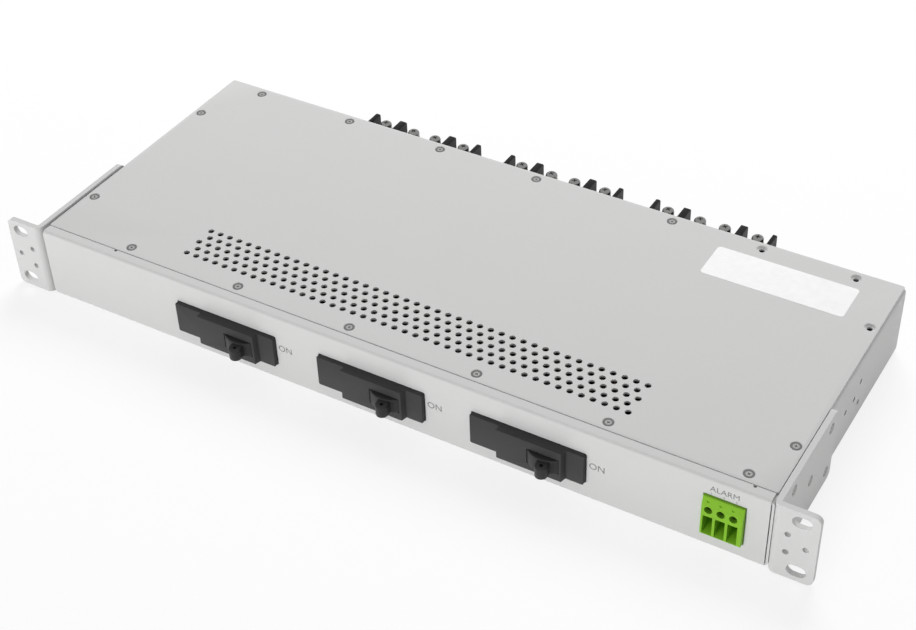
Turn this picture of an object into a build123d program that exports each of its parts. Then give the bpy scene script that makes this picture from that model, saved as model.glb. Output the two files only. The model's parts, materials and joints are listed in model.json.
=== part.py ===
"""Rack breaker panel: a shallow sheet-steel chassis with three breakers and an alarm plug.

Millimetres, +Z up, X along the width, +Y from the front panel to the rear.
The origin is the middle of the four rack slots, on the front face of the ears.
"""
import os
from math import cos, radians, sin, tan

from build123d import *

# Rack interface
SLOT_SPAN = 465.1
SLOT_MARGIN = 8.75
SLOT_RISE = 31.75
SLOT_LENGTH = 10.0
SLOT_WIDTH = 6.8
EAR_PLATE = 23.3
EAR_HEIGHT = 44.4
EAR_THICKNESS = 3.0
EAR_CORNER = 3.6
EAR_BEND = 4.0
EAR_LEG = 74.0
EAR_HOLE = 3.2
EAR_HOLE_RISE = 11.6
EAR_HOLE_INSET = 6.2
EAR_HOLE_OUTSET = 3.2

# Ear screws on the leg: four corners and the middle
LEG_SCREW_FIRST = 19.5
LEG_SCREW_RUN = 47.5
LEG_SCREW_RISE = 29.0

# Chassis
CHASSIS_HEIGHT = 43.7
CHASSIS_LOW = -22.6
CHASSIS_FRONT = 1.5
CHASSIS_DEPTH = 179.5
SHEET = 1.2
BEND = 1.6
SIDE_BEND = 2.4
CORNER_GAP = 0.4
SIDE_SETBACK = 0.7
FLANGE = 13.0
STRIP = 5.8
LEDGE = 13.0
LEDGE_LEFT = 48.0
LEDGE_RIGHT = 11.0
RELIEF = 1.8

# Cover
COVER_GAP = 0.6
COVER_SIDE_INSET = 0.8
COVER_REAR_INSET = 0.6
COVER_CORNER = 1.2
VENT_PITCH = 6.35
VENT_ROW = 5.5
VENT_HOLE = 3.4
VENT_COLUMNS = 43
VENT_ROWS = 5
VENT_CENTRE = -0.45
VENT_FIRST = 16.0
VENT_SIDES = 6

# Countersunk cover screws, as shares of each row between its end screws
COUNTERSINK = 6.4
SCREW_HOLE = 3.4
SCREW_SHANK = 2.8
SCREW_HEAD = 5.4
SCREW_HEAD_SINK = 0.2
SCREW_HEAD_ANGLE = 100.0
SCREW_LENGTH = 5.2
SCREW_EDGE = 4.7
SCREW_SIDES = 12
FRONT_SCREW_INSET = 5.3
FRONT_ROW_LEFT = 53.8
FRONT_ROW_RIGHT = 16.8
FRONT_ROW = (0.0, 0.197, 0.391, 0.599, 0.8, 1.0)
REAR_SCREW_INSET = 5.4
REAR_ROW_MARGIN = 25.0
REAR_ROW = (0.0, 0.168, 0.333, 0.5, 0.722, 0.861, 1.0)
REAR_ROW_SCREWS = 5
SIDE_ROW_FRONT = 32.9
SIDE_ROW_REAR = 40.2

# Spare bracket holes in the side walls, from the chassis front and above the slots' middle
SPARE_HOLE = 3.2
SPARE_HOLES = ((96.5, -1.5), (109.0, -2.5), (117.0, 3.5), (117.0, -10.5))

# Breakers
BREAKER_PITCH = 91.6
BREAKER_MIDDLE = -1.6
BREAKER_LEVEL = -2.75
BREAKER_LENGTH = 63.9
BREAKER_HEIGHT = 18.9
BREAKER_DEPTH = 52.0
BREAKER_PROUD = 2.5
BREAKER_CORNER = 0.9
BREAKER_FIT = 0.3
BOSS_LENGTH = 37.4
BOSS_OFFSET = 3.7
BOSS_PROUD = 3.4
BOSS_DRAFT = 1.0
CASE_STEP_LENGTH = 8.0
CASE_STEP_HEIGHT = 3.2

# Toggle
PIVOT_OFFSET = 11.3
HUB_RADIUS = 13.0
HUB_PROUD = 4.0
HUB_HEIGHT = 8.8
HUB_ROUND = 0.6
HUB_GAP = 0.3
LEVER_REACH = 18.2
LEVER_THICK = 6.7
LEVER_HEIGHT = 6.8
LEVER_EYE = 2.0
LEVER_LEAN = 9.0
PIN_DIAMETER = 3.0
PIN_RUNNING = 0.05
PIN_LENGTH = 17.6

# Breaker studs, nuts and bracket
STUD_SPREAD = 40.0
STUD_DIAMETER = 5.0
STUD_LENGTH = 9.0
NUT_WIDTH = 8.0
NUT_HEIGHT = 4.0
NUT_SIDES = 6
BRACKET_SHEET = 1.5
BRACKET_WIDTH = 24.0
BRACKET_FOOT = 16.0
BRACKET_BEND = 2.0
BRACKET_SCREWS = 12.0
SMALL_SCREW = 3.0
SMALL_HEAD = 5.6
SMALL_HEAD_HEIGHT = 2.0
HEAD_TAPER = 12.0
HOLE_FIT = 0.2

# Rear terminals
GROUP_PITCH = 94.0
GROUP_MIDDLE = 8.9
POLE_INNER = 7.5
POLE_OUTER = 27.1
BAR_WIDTH = 7.0
BAR_THICK = 1.5
BAR_LEVEL = 10.6
BAR_FIT = 0.3
FIN_REACH = 15.3
FIN_OUTER = 2.3
FIN_MIDDLE = 4.0
FIN_TOP = 17.2
FIN_ROUND = 2.0
BLOCK_FLANGE = 3.0
BLOCK_HALF = 36.5
BLOCK_MIDDLE_GAP = 1.0
BLOCK_TOP = 16.5
BLOCK_LOW = -8.0
BLOCK_NECK_TOP = 15.0
BLOCK_NECK_LOW = 5.0
BLOCK_NECK_DEPTH = 8.0
BLOCK_NECK_MARGIN = 1.2
BLOCK_SCREW_INSET = 6.0
BLOCK_SCREW_RISE = 4.5
PLATFORM_DROP = 10.0
PLATFORM_THICK = 2.0
PEDESTAL_MARGIN = 0.2
TERMINAL_SCREW = 4.0
TERMINAL_HEAD = 7.0
TERMINAL_HEAD_HEIGHT = 2.8
WASHER_DIAMETER = 6.8
WASHER_THICK = 1.0
TERMINAL_SETBACK = 10.0
BAR_STRAIGHT = 3.0

# Alarm plug, its header and its board
PLUG_INSET = 23.7
PLUG_WIDTH = 21.2
PLUG_LOW = -13.5
PLUG_HEIGHT = 24.0
PLUG_PROUD = 2.5
PLUG_DEPTH = 18.0
PLUG_BEVEL = 1.2
PLUG_BEVEL_RISE = 6.0
PLUG_FIT = 0.4
POLE_PITCH = 6.35
POLE_SHIFT = -0.6
WIRE_WIDTH = 5.0
WIRE_HEIGHT = 11.8
WIRE_LOW = 0.5
WIRE_DEPTH = 13.0
WIRE_RAMP = 5.0
CLAMP_LEVEL = 16.4
CLAMP_HOLE = 4.2
CLAMP_DEPTH = 9.0
CLAMP_SCREW = 3.8
CLAMP_SCREW_LENGTH = 6.5
CLAMP_SLOT = 0.8
CLAMP_SLOT_TURN = 30.0
HEADER_WALL = 1.4
HEADER_DEPTH = 18.0
HEADER_BACK = 3.0
SOCKET = 1.6
PIN_SIDE = 1.0
PIN_REACH = 7.0
PIN_LEVEL = 8.0
BOARD_THICK = 1.6
BOARD_WIDTH = 36.0
BOARD_DEPTH = 52.0
BOARD_MARGIN = 4.0
STANDOFF = 6.0
POST_FOOT = 0.3

# Places worked out from the sizes above
EAR_SPAN = SLOT_SPAN + 2 * SLOT_MARGIN
CHASSIS_WIDTH = EAR_SPAN - 2 * EAR_PLATE
HALF_WIDTH = CHASSIS_WIDTH / 2
CHASSIS_TOP = CHASSIS_LOW + CHASSIS_HEIGHT
LEDGE_TOP = CHASSIS_TOP - SHEET
FLOOR_TOP = CHASSIS_LOW + SHEET
CHASSIS_REAR = CHASSIS_FRONT + CHASSIS_DEPTH
FRONT_INSIDE = CHASSIS_FRONT + SHEET
REAR_INSIDE = CHASSIS_REAR - SHEET
WALL_HALF = HALF_WIDTH - SHEET - CORNER_GAP
STRIP_END = CHASSIS_FRONT + STRIP
COVER_FRONT = STRIP_END + COVER_GAP
COVER_REAR = CHASSIS_REAR - COVER_REAR_INSET
COVER_HALF = HALF_WIDTH - COVER_SIDE_INSET
BREAKERS = [BREAKER_MIDDLE + BREAKER_PITCH * i for i in (-1, 0, 1)]
GROUPS = [GROUP_MIDDLE + GROUP_PITCH * i for i in (-1, 0, 1)]
PLATE_FACE = CHASSIS_FRONT - BREAKER_PROUD
BOSS_FACE = PLATE_FACE - BOSS_PROUD
BREAKER_BACK = PLATE_FACE + BREAKER_DEPTH
PIVOT_Y = BOSS_FACE - HUB_PROUD + HUB_RADIUS
BAR_TOP = BAR_LEVEL + BAR_THICK
TERMINAL_Y = CHASSIS_REAR + TERMINAL_SETBACK
BLOCK_FACE = CHASSIS_REAR + BLOCK_FLANGE
PLUG_CENTRE = HALF_WIDTH - PLUG_INSET
PLUG_FACE = CHASSIS_FRONT - PLUG_PROUD
PLUG_BACK = PLUG_FACE + PLUG_DEPTH
PLUG_MIDDLE = PLUG_LOW + PLUG_HEIGHT / 2
HEADER_LOW = PLUG_LOW - PLUG_FIT - HEADER_WALL
BOARD_LOW = HEADER_LOW - BOARD_THICK
PIN_Z = PLUG_LOW + PIN_LEVEL


def along(low, high, share):
    """The point at a share of the way from low to high."""
    return low + (high - low) * share


def cover_screw_places():
    """Every screw place on the cover, the filled ones first, then the open ones."""
    edge = COVER_HALF - SCREW_EDGE
    front_y = COVER_FRONT + FRONT_SCREW_INSET
    rear_y = COVER_REAR - REAR_SCREW_INSET
    low_y = COVER_FRONT + SIDE_ROW_FRONT
    high_y = COVER_REAR - SIDE_ROW_REAR
    front_ends = (FRONT_ROW_LEFT - COVER_HALF, COVER_HALF - FRONT_ROW_RIGHT)
    rear_ends = (REAR_ROW_MARGIN - COVER_HALF, COVER_HALF - REAR_ROW_MARGIN)
    front = [(along(*front_ends, share), front_y) for share in FRONT_ROW]
    rear = [(along(*rear_ends, share), rear_y) for share in REAR_ROW]
    filled = front + rear[:REAR_ROW_SCREWS] + [(-edge, low_y), (-edge, high_y), (edge, low_y)]
    return filled, rear[REAR_ROW_SCREWS:] + [(edge, high_y)]


def leg_screw_places():
    """The five screws of an ear's leg, as (y, z)."""
    first = LEG_SCREW_FIRST
    last = LEG_SCREW_FIRST + LEG_SCREW_RUN
    half = LEG_SCREW_RISE / 2
    corners = [(y, z) for y in (first, last) for z in (-half, half)]
    return corners + [((first + last) / 2, 0.0)]


def bracket_screw_places(centre):
    """The two screws in the foot of a breaker's bracket."""
    y = BREAKER_BACK + BRACKET_FOOT / 2 + BRACKET_BEND
    return [(centre - BRACKET_SCREWS / 2, y), (centre + BRACKET_SCREWS / 2, y)]


def board_post_places():
    """The four posts under the alarm board."""
    left = PLUG_CENTRE - BOARD_WIDTH / 2 + BOARD_MARGIN
    right = PLUG_CENTRE + BOARD_WIDTH / 2 - BOARD_MARGIN
    front = FRONT_INSIDE + HEADER_DEPTH + BOARD_MARGIN
    back = FRONT_INSIDE + CORNER_GAP + BOARD_DEPTH - BOARD_MARGIN
    return [(x, y) for x in (left, right) for y in (front, back)]


def plug_poles():
    """The x of each pole of the alarm plug."""
    return [PLUG_CENTRE + POLE_SHIFT + POLE_PITCH * i for i in (-1, 0, 1)]


def keep(piece, name):
    """Label a finished piece and write its file."""
    piece.part.label = name
    export_step(piece.part, f"parts/{name}.step")


def make_base_chassis():
    """Folded tray: floor, front and rear walls, side walls, flanges under the cover."""
    wall_run = [
        (STRIP_END, CHASSIS_TOP),
        (CHASSIS_FRONT, CHASSIS_TOP),
        (CHASSIS_FRONT, CHASSIS_LOW),
        (CHASSIS_REAR, CHASSIS_LOW),
        (CHASSIS_REAR, LEDGE_TOP),
        (CHASSIS_REAR - FLANGE, LEDGE_TOP),
    ]
    side_length = CHASSIS_DEPTH - 2 * SIDE_SETBACK
    ledge_low = -COVER_HALF + LEDGE_LEFT
    ledge_high = COVER_HALF - LEDGE_RIGHT
    relief_y = STRIP_END - RELIEF / 4
    ledge_run = [
        (STRIP_END - SHEET, CHASSIS_TOP - SHEET / 2),
        (STRIP_END, CHASSIS_TOP - SHEET / 2),
        (STRIP_END, LEDGE_TOP),
        (STRIP_END + LEDGE, LEDGE_TOP),
        (STRIP_END + LEDGE, LEDGE_TOP - SHEET),
        (STRIP_END - SHEET, LEDGE_TOP - SHEET),
    ]
    with BuildPart() as base:
        # Front wall, floor and rear wall, one section run along the width
        with BuildSketch(Plane.YZ):
            with BuildLine():
                FilletPolyline(*wall_run, radius=BEND)
                offset(amount=SHEET, side=Side.LEFT)
            make_face()
        extrude(amount=WALL_HALF, both=True)
        # Side walls with their top flanges, one section run along the depth
        for side in (-1, 1):
            side_run = [
                (side * (HALF_WIDTH - FLANGE), CHASSIS_LOW),
                (side * HALF_WIDTH, CHASSIS_LOW),
                (side * HALF_WIDTH, LEDGE_TOP),
                (side * (HALF_WIDTH - FLANGE), LEDGE_TOP),
            ]
            with BuildSketch(Plane.XZ.offset(-CHASSIS_FRONT - SIDE_SETBACK)):
                with BuildLine():
                    FilletPolyline(*side_run, radius=SIDE_BEND)
                    offset(amount=SHEET, side=Side.LEFT if side > 0 else Side.RIGHT)
                make_face()
            extrude(amount=-side_length)
        # The ledge that steps down behind the front strip and carries the cover
        with BuildSketch(Plane.YZ.offset(ledge_low)):
            with BuildLine():
                Polyline(*ledge_run, close=True)
            make_face()
        extrude(amount=ledge_high - ledge_low)
        with BuildSketch(Plane.XY.offset(CHASSIS_TOP)):
            with Locations((ledge_low, relief_y), (ledge_high, relief_y)):
                Circle(RELIEF / 2)
        extrude(amount=-2 * SHEET, mode=Mode.SUBTRACT)
        # Windows for the breakers and the alarm plug in the front wall
        window = (BREAKER_LENGTH + 2 * BREAKER_FIT, BREAKER_HEIGHT + 2 * BREAKER_FIT)
        with BuildSketch(Plane.XZ.offset(-CHASSIS_FRONT)):
            with Locations(*[(x, BREAKER_LEVEL) for x in BREAKERS]):
                RectangleRounded(*window, BREAKER_CORNER)
            with Locations((PLUG_CENTRE, PLUG_MIDDLE)):
                Rectangle(PLUG_WIDTH + 2 * PLUG_FIT, PLUG_HEIGHT + 2 * PLUG_FIT)
        extrude(amount=-SHEET, mode=Mode.SUBTRACT)
        # Windows and screw holes for the terminal blocks in the rear wall
        neck_width = BLOCK_HALF - BLOCK_MIDDLE_GAP - 2 * BLOCK_NECK_MARGIN
        neck_height = BLOCK_NECK_TOP - BLOCK_NECK_LOW
        neck_level = (BLOCK_NECK_TOP + BLOCK_NECK_LOW) / 2
        with BuildSketch(Plane.XZ.offset(-REAR_INSIDE)):
            with Locations(*[(x, neck_level) for x in block_centres()]):
                Rectangle(neck_width + 2 * BAR_FIT, neck_height + 2 * BAR_FIT)
            with Locations(*block_screw_places()):
                Circle(SMALL_SCREW / 2 + HOLE_FIT)
        extrude(amount=-SHEET, mode=Mode.SUBTRACT)
        # Tapped holes for the cover screws in the flanges
        filled, spare = cover_screw_places()
        with BuildSketch(Plane.XY.offset(LEDGE_TOP)):
            with Locations(*filled, *spare):
                Circle(SCREW_SHANK / 2 + HOLE_FIT)
        extrude(amount=-2 * SHEET, mode=Mode.SUBTRACT)
        # Floor holes under the breaker brackets and the alarm board
        with BuildSketch(Plane.XY.offset(CHASSIS_LOW)):
            with Locations(*floor_screw_places()):
                Circle(SMALL_SCREW / 2 + HOLE_FIT)
        extrude(amount=SHEET, mode=Mode.SUBTRACT)
        # Ear screw holes and the spare bracket holes through both side walls
        with BuildSketch(Plane.YZ.offset(-HALF_WIDTH)):
            with Locations(*leg_screw_places()):
                Circle(SMALL_SCREW / 2 + HOLE_FIT)
            with Locations(*[(CHASSIS_FRONT + y, z) for y, z in SPARE_HOLES]):
                Circle(SPARE_HOLE / 2)
        extrude(amount=CHASSIS_WIDTH, mode=Mode.SUBTRACT)
    keep(base, "base_chassis")


def floor_screw_places():
    """Every screw that comes up through the floor."""
    places = [p for x in BREAKERS for p in bracket_screw_places(x)]
    return places + board_post_places()


def block_centres():
    """The middle of each terminal block, two in a group."""
    middle = (BLOCK_HALF + BLOCK_MIDDLE_GAP) / 2
    return [g + side * middle for g in GROUPS for side in (-1, 1)]


def block_screw_places():
    """The two flange screws of each terminal block, as (x, z)."""
    spread = (BLOCK_HALF - BLOCK_MIDDLE_GAP) / 2 - BLOCK_SCREW_INSET
    level = BLOCK_LOW + BLOCK_SCREW_RISE
    return [(x + side * spread, level) for x in block_centres() for side in (-1, 1)]


def make_top_cover():
    """Flat cover with a staggered field of vent holes and countersunk screw holes."""
    length = COVER_REAR - COVER_FRONT
    filled, spare = cover_screw_places()
    with BuildPart() as cover:
        with BuildSketch(Plane.XY.offset(LEDGE_TOP)):
            with Locations((0, (COVER_FRONT + COVER_REAR) / 2)):
                RectangleRounded(2 * COVER_HALF, length, COVER_CORNER)
            with Locations(*vent_places()):
                RegularPolygon(VENT_HOLE / 2, VENT_SIDES, major_radius=False, mode=Mode.SUBTRACT)
        extrude(amount=SHEET)
        with Locations(Plane.XY.offset(CHASSIS_TOP)):
            with Locations(*filled, *spare):
                CounterSinkHole(radius=SCREW_HOLE / 2, counter_sink_radius=COUNTERSINK / 2)
    keep(cover, "top_cover")


def vent_places():
    """The centres of the vent holes, every other row set over by half a pitch."""
    places = []
    for row in range(VENT_ROWS):
        count = VENT_COLUMNS - row % 2
        first = VENT_CENTRE - VENT_PITCH * (count - 1) / 2
        y = COVER_FRONT + VENT_FIRST + VENT_ROW * row
        places += [(first + VENT_PITCH * column, y) for column in range(count)]
    return places


def make_ear(side, name):
    """L bracket: a leg along the chassis side and a slotted plate across the front."""
    leg_out = HALF_WIDTH + EAR_THICKNESS
    run = [
        (side * HALF_WIDTH, EAR_LEG),
        (side * HALF_WIDTH, 0),
        (side * EAR_SPAN / 2, 0),
    ]
    holes_in = SLOT_SPAN / 2 - EAR_HOLE_INSET
    hole_out = SLOT_SPAN / 2 + EAR_HOLE_OUTSET
    with BuildPart() as ear:
        with BuildSketch(Plane.XY.offset(-EAR_HEIGHT / 2)):
            with BuildLine():
                FilletPolyline(*run, radius=EAR_BEND)
                offset(amount=EAR_THICKNESS, side=Side.LEFT if side > 0 else Side.RIGHT)
            make_face()
        extrude(amount=EAR_HEIGHT)
        # Rounded outer corners of the plate and of the leg's far end
        outer = ear.edges().filter_by(Axis.Y).group_by(Axis.X)[-1 if side > 0 else 0]
        fillet(outer, EAR_CORNER)
        far = ear.edges().filter_by(Axis.X).group_by(Axis.Y)[-1]
        fillet(far, EAR_CORNER)
        # Rack slots and the three small holes
        with BuildSketch(Plane.XZ):
            with Locations(*[(side * SLOT_SPAN / 2, z * SLOT_RISE / 2) for z in (-1, 1)]):
                SlotOverall(SLOT_LENGTH, SLOT_WIDTH)
            with Locations(*[(side * holes_in, z * EAR_HOLE_RISE / 2) for z in (-1, 1)]):
                Circle(EAR_HOLE / 2)
            with Locations((side * hole_out, 0)):
                Circle(EAR_HOLE / 2)
        extrude(amount=-EAR_THICKNESS, mode=Mode.SUBTRACT)
        # Countersunk holes in the leg
        face = Plane(origin=(side * leg_out, 0, 0), x_dir=(0, side, 0), z_dir=(side, 0, 0))
        with Locations(face):
            with Locations(*[(side * y, z) for y, z in leg_screw_places()]):
                CounterSinkHole(radius=SCREW_HOLE / 2, counter_sink_radius=COUNTERSINK / 2)
    keep(ear, name)


def flat_head_screw(plane, length):
    """A countersunk screw whose flat head lies just under the plane."""
    taper = SCREW_HEAD_ANGLE / 2
    depth = (SCREW_HEAD - SCREW_SHANK) / 2 / tan(radians(taper))
    with BuildPart() as screw:
        with BuildSketch(plane.offset(-SCREW_HEAD_SINK)):
            RegularPolygon(SCREW_HEAD / 2, SCREW_SIDES)
        extrude(amount=-depth, taper=taper)
        with BuildSketch(plane.offset(-SCREW_HEAD_SINK)):
            RegularPolygon(SCREW_SHANK / 2, SCREW_SIDES)
        extrude(amount=-length)
    return screw.part


def pan_head_screw(plane, diameter, head, head_height, length):
    """A screw whose head stands on the plane and whose shank goes down through it."""
    with BuildPart() as screw:
        with BuildSketch(plane):
            RegularPolygon(head / 2, SCREW_SIDES)
        extrude(amount=head_height, taper=HEAD_TAPER)
        with BuildSketch(plane):
            RegularPolygon(diameter / 2, SCREW_SIDES)
        extrude(amount=-length)
    return screw.part


def make_group(name, solids):
    """Write separate like solids as one node."""
    with BuildPart() as group:
        add(solids)
    keep(group, name)


def make_cover_screws():
    """The countersunk screws that hold the cover."""
    filled, _ = cover_screw_places()
    planes = [Plane(origin=(x, y, CHASSIS_TOP)) for x, y in filled]
    make_group("cover_screws", [flat_head_screw(p, SCREW_LENGTH) for p in planes])


def make_ear_screws(side, name):
    """The countersunk screws that hold an ear to the chassis."""
    leg_out = HALF_WIDTH + EAR_THICKNESS
    planes = [
        Plane(origin=(side * leg_out, y, z), x_dir=(0, side, 0), z_dir=(side, 0, 0))
        for y, z in leg_screw_places()
    ]
    make_group(name, [flat_head_screw(p, SCREW_LENGTH) for p in planes])


def make_breaker(centre, name):
    """Moulded case: plate through the window, raised boss, round pocket for the toggle."""
    half = BREAKER_LENGTH / 2
    boss_low = centre + BOSS_OFFSET - BOSS_LENGTH / 2
    boss_high = centre + BOSS_OFFSET + BOSS_LENGTH / 2
    profile = [
        (centre - half, BREAKER_BACK),
        (centre - half, PLATE_FACE),
        (boss_low, PLATE_FACE),
        (boss_low, BOSS_FACE),
        (boss_high - BOSS_DRAFT, BOSS_FACE),
        (boss_high, PLATE_FACE),
        (centre + half, PLATE_FACE),
        (centre + half, BREAKER_BACK),
    ]
    low = BREAKER_LEVEL - BREAKER_HEIGHT / 2
    pocket = HUB_HEIGHT + 2 * HUB_GAP
    stud_x = [centre + side * STUD_SPREAD / 2 for side in (-1, 1)]
    with BuildPart() as case:
        with BuildSketch(Plane.XY.offset(low)):
            with BuildLine():
                Polyline(*profile, close=True)
            make_face()
        extrude(amount=BREAKER_HEIGHT)
        # Rounded corners of the plate, seen from the front
        ends = case.edges().filter_by(Axis.Y).group_by(Axis.X)
        fillet(ends[0] + ends[-1], BREAKER_CORNER)
        # Round pocket for the toggle's hub
        with BuildSketch(Plane.XY.offset(BREAKER_LEVEL - pocket / 2)):
            with Locations((centre + PIVOT_OFFSET, PIVOT_Y)):
                Circle(HUB_RADIUS + HUB_GAP)
        extrude(amount=pocket, mode=Mode.SUBTRACT)
        # Bore for the pivot pin
        with BuildSketch(Plane.XY.offset(BREAKER_LEVEL - PIN_LENGTH / 2)):
            with Locations((centre + PIVOT_OFFSET, PIVOT_Y)):
                Circle(PIN_DIAMETER / 2 + PIN_RUNNING)
        extrude(amount=PIN_LENGTH, mode=Mode.SUBTRACT)
        # Steps along the upper and lower back edges of the case
        with BuildSketch(Plane.YZ.offset(centre - half)):
            with Locations((BREAKER_BACK, low), (BREAKER_BACK, low + BREAKER_HEIGHT)):
                Rectangle(2 * CASE_STEP_LENGTH, 2 * CASE_STEP_HEIGHT)
        extrude(amount=BREAKER_LENGTH, mode=Mode.SUBTRACT)
        # Stud holes and bracket screw holes in the back
        with BuildSketch(Plane.XZ.offset(-BREAKER_BACK)):
            with Locations(*[(x, BREAKER_LEVEL) for x in stud_x]):
                Circle(STUD_DIAMETER / 2 + HOLE_FIT)
        extrude(amount=STUD_LENGTH, mode=Mode.SUBTRACT)
        with BuildSketch(Plane.XZ.offset(-BREAKER_BACK)):
            with Locations(*bracket_back_places(centre)):
                Circle(SMALL_SCREW / 2 + HOLE_FIT)
        extrude(amount=2 * SMALL_SCREW, mode=Mode.SUBTRACT)
    keep(case, name)


def bracket_back_places(centre):
    """The two screws that hold a bracket to the back of its breaker, as (x, z)."""
    spread = BRACKET_SCREWS / 2
    return [(centre - spread, BREAKER_LEVEL), (centre + spread, BREAKER_LEVEL)]


def make_toggle(centre, name):
    """Round hub on the pivot pin with a short lever that leans towards ON."""
    pivot = (centre + PIVOT_OFFSET, PIVOT_Y)
    eye = LEVER_REACH - LEVER_THICK / 2
    lever = Plane(
        origin=(pivot[0], pivot[1], BREAKER_LEVEL - LEVER_HEIGHT / 2),
        x_dir=(sin(radians(LEVER_LEAN)), -cos(radians(LEVER_LEAN)), 0),
        z_dir=(0, 0, 1),
    )
    with BuildPart() as toggle:
        with BuildSketch(Plane.XY.offset(BREAKER_LEVEL - HUB_HEIGHT / 2)):
            with Locations(pivot):
                Circle(HUB_RADIUS)
        extrude(amount=HUB_HEIGHT)
        chamfer(toggle.edges().filter_by(GeomType.CIRCLE), HUB_ROUND)
        # Lever with a barrel end and an eye for a tie bar
        with BuildSketch(lever):
            with Locations((eye / 2, 0)):
                Rectangle(eye, LEVER_THICK)
            with Locations((eye, 0)):
                Circle(LEVER_THICK / 2)
        extrude(amount=LEVER_HEIGHT)
        with BuildSketch(lever):
            with Locations((eye, 0)):
                Circle(LEVER_EYE / 2)
        extrude(amount=LEVER_HEIGHT, mode=Mode.SUBTRACT)
        # Bore for the pivot pin
        with BuildSketch(Plane.XY.offset(BREAKER_LEVEL - HUB_HEIGHT / 2)):
            with Locations(pivot):
                Circle(PIN_DIAMETER / 2 + PIN_RUNNING)
        extrude(amount=HUB_HEIGHT, mode=Mode.SUBTRACT)
    keep(toggle, name)


def make_toggle_pin(centre, name):
    """Steel pin that carries the toggle in the case."""
    with BuildPart() as pin:
        with BuildSketch(Plane.XY.offset(BREAKER_LEVEL - PIN_LENGTH / 2)):
            with Locations((centre + PIVOT_OFFSET, PIVOT_Y)):
                Circle(PIN_DIAMETER / 2)
        extrude(amount=PIN_LENGTH)
    keep(pin, name)


def make_bracket(centre, name):
    """Folded angle: its foot on the floor, its upright on the back of the breaker."""
    top = BREAKER_LEVEL + BREAKER_HEIGHT / 2 - BRACKET_BEND
    run = [
        (BREAKER_BACK, top),
        (BREAKER_BACK, FLOOR_TOP),
        (BREAKER_BACK + BRACKET_FOOT + BRACKET_BEND, FLOOR_TOP),
    ]
    with BuildPart() as bracket:
        with BuildSketch(Plane.YZ.offset(centre - BRACKET_WIDTH / 2)):
            with BuildLine():
                FilletPolyline(*run, radius=BRACKET_BEND)
                offset(amount=BRACKET_SHEET, side=Side.LEFT)
            make_face()
        extrude(amount=BRACKET_WIDTH)
        with BuildSketch(Plane.XY.offset(FLOOR_TOP)):
            with Locations(*bracket_screw_places(centre)):
                Circle(SMALL_SCREW / 2 + HOLE_FIT)
        extrude(amount=BRACKET_SHEET, mode=Mode.SUBTRACT)
        with BuildSketch(Plane.XZ.offset(-BREAKER_BACK)):
            with Locations(*bracket_back_places(centre)):
                Circle(SMALL_SCREW / 2 + HOLE_FIT)
        extrude(amount=-BRACKET_SHEET, mode=Mode.SUBTRACT)
    keep(bracket, name)


def make_bracket_screws():
    """Pan-head screws through the bracket uprights into the breakers, and through the feet."""
    back = BREAKER_BACK + BRACKET_SHEET
    uprights = [
        Plane(origin=(x, back, z), x_dir=(1, 0, 0), z_dir=(0, 1, 0))
        for centre in BREAKERS
        for x, z in bracket_back_places(centre)
    ]
    feet = [
        Plane(origin=(x, y, FLOOR_TOP + BRACKET_SHEET))
        for centre in BREAKERS
        for x, y in bracket_screw_places(centre)
    ]
    sizes = (SMALL_SCREW, SMALL_HEAD, SMALL_HEAD_HEIGHT)
    solids = [pan_head_screw(p, *sizes, BRACKET_SHEET + SMALL_SCREW) for p in uprights]
    solids += [pan_head_screw(p, *sizes, BRACKET_SHEET + SHEET) for p in feet]
    make_group("bracket_screws", solids)


def make_breaker_studs():
    """Threaded studs that carry the bars on the back of each breaker."""
    solids = []
    for centre in BREAKERS:
        for side in (-1, 1):
            start = BREAKER_BACK - STUD_LENGTH
            with BuildPart() as stud:
                with BuildSketch(Plane.XZ.offset(-start)):
                    with Locations((centre + side * STUD_SPREAD / 2, BREAKER_LEVEL)):
                        RegularPolygon(STUD_DIAMETER / 2, SCREW_SIDES)
                extrude(amount=-2 * STUD_LENGTH)
            solids.append(stud.part)
    make_group("breaker_studs", solids)


def make_stud_nuts():
    """Hexagon nuts that clamp the bars on the studs."""
    solids = []
    for centre in BREAKERS:
        for side in (-1, 1):
            with BuildPart() as nut:
                with BuildSketch(Plane.XZ.offset(-BREAKER_BACK - BAR_THICK)):
                    with Locations((centre + side * STUD_SPREAD / 2, BREAKER_LEVEL)):
                        RegularPolygon(NUT_WIDTH / 2, NUT_SIDES, major_radius=False)
                        RegularPolygon(STUD_DIAMETER / 2 + PIN_RUNNING, SCREW_SIDES, mode=Mode.SUBTRACT)
                extrude(amount=-NUT_HEIGHT)
            solids.append(nut.part)
    make_group("stud_nuts", solids)


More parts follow.
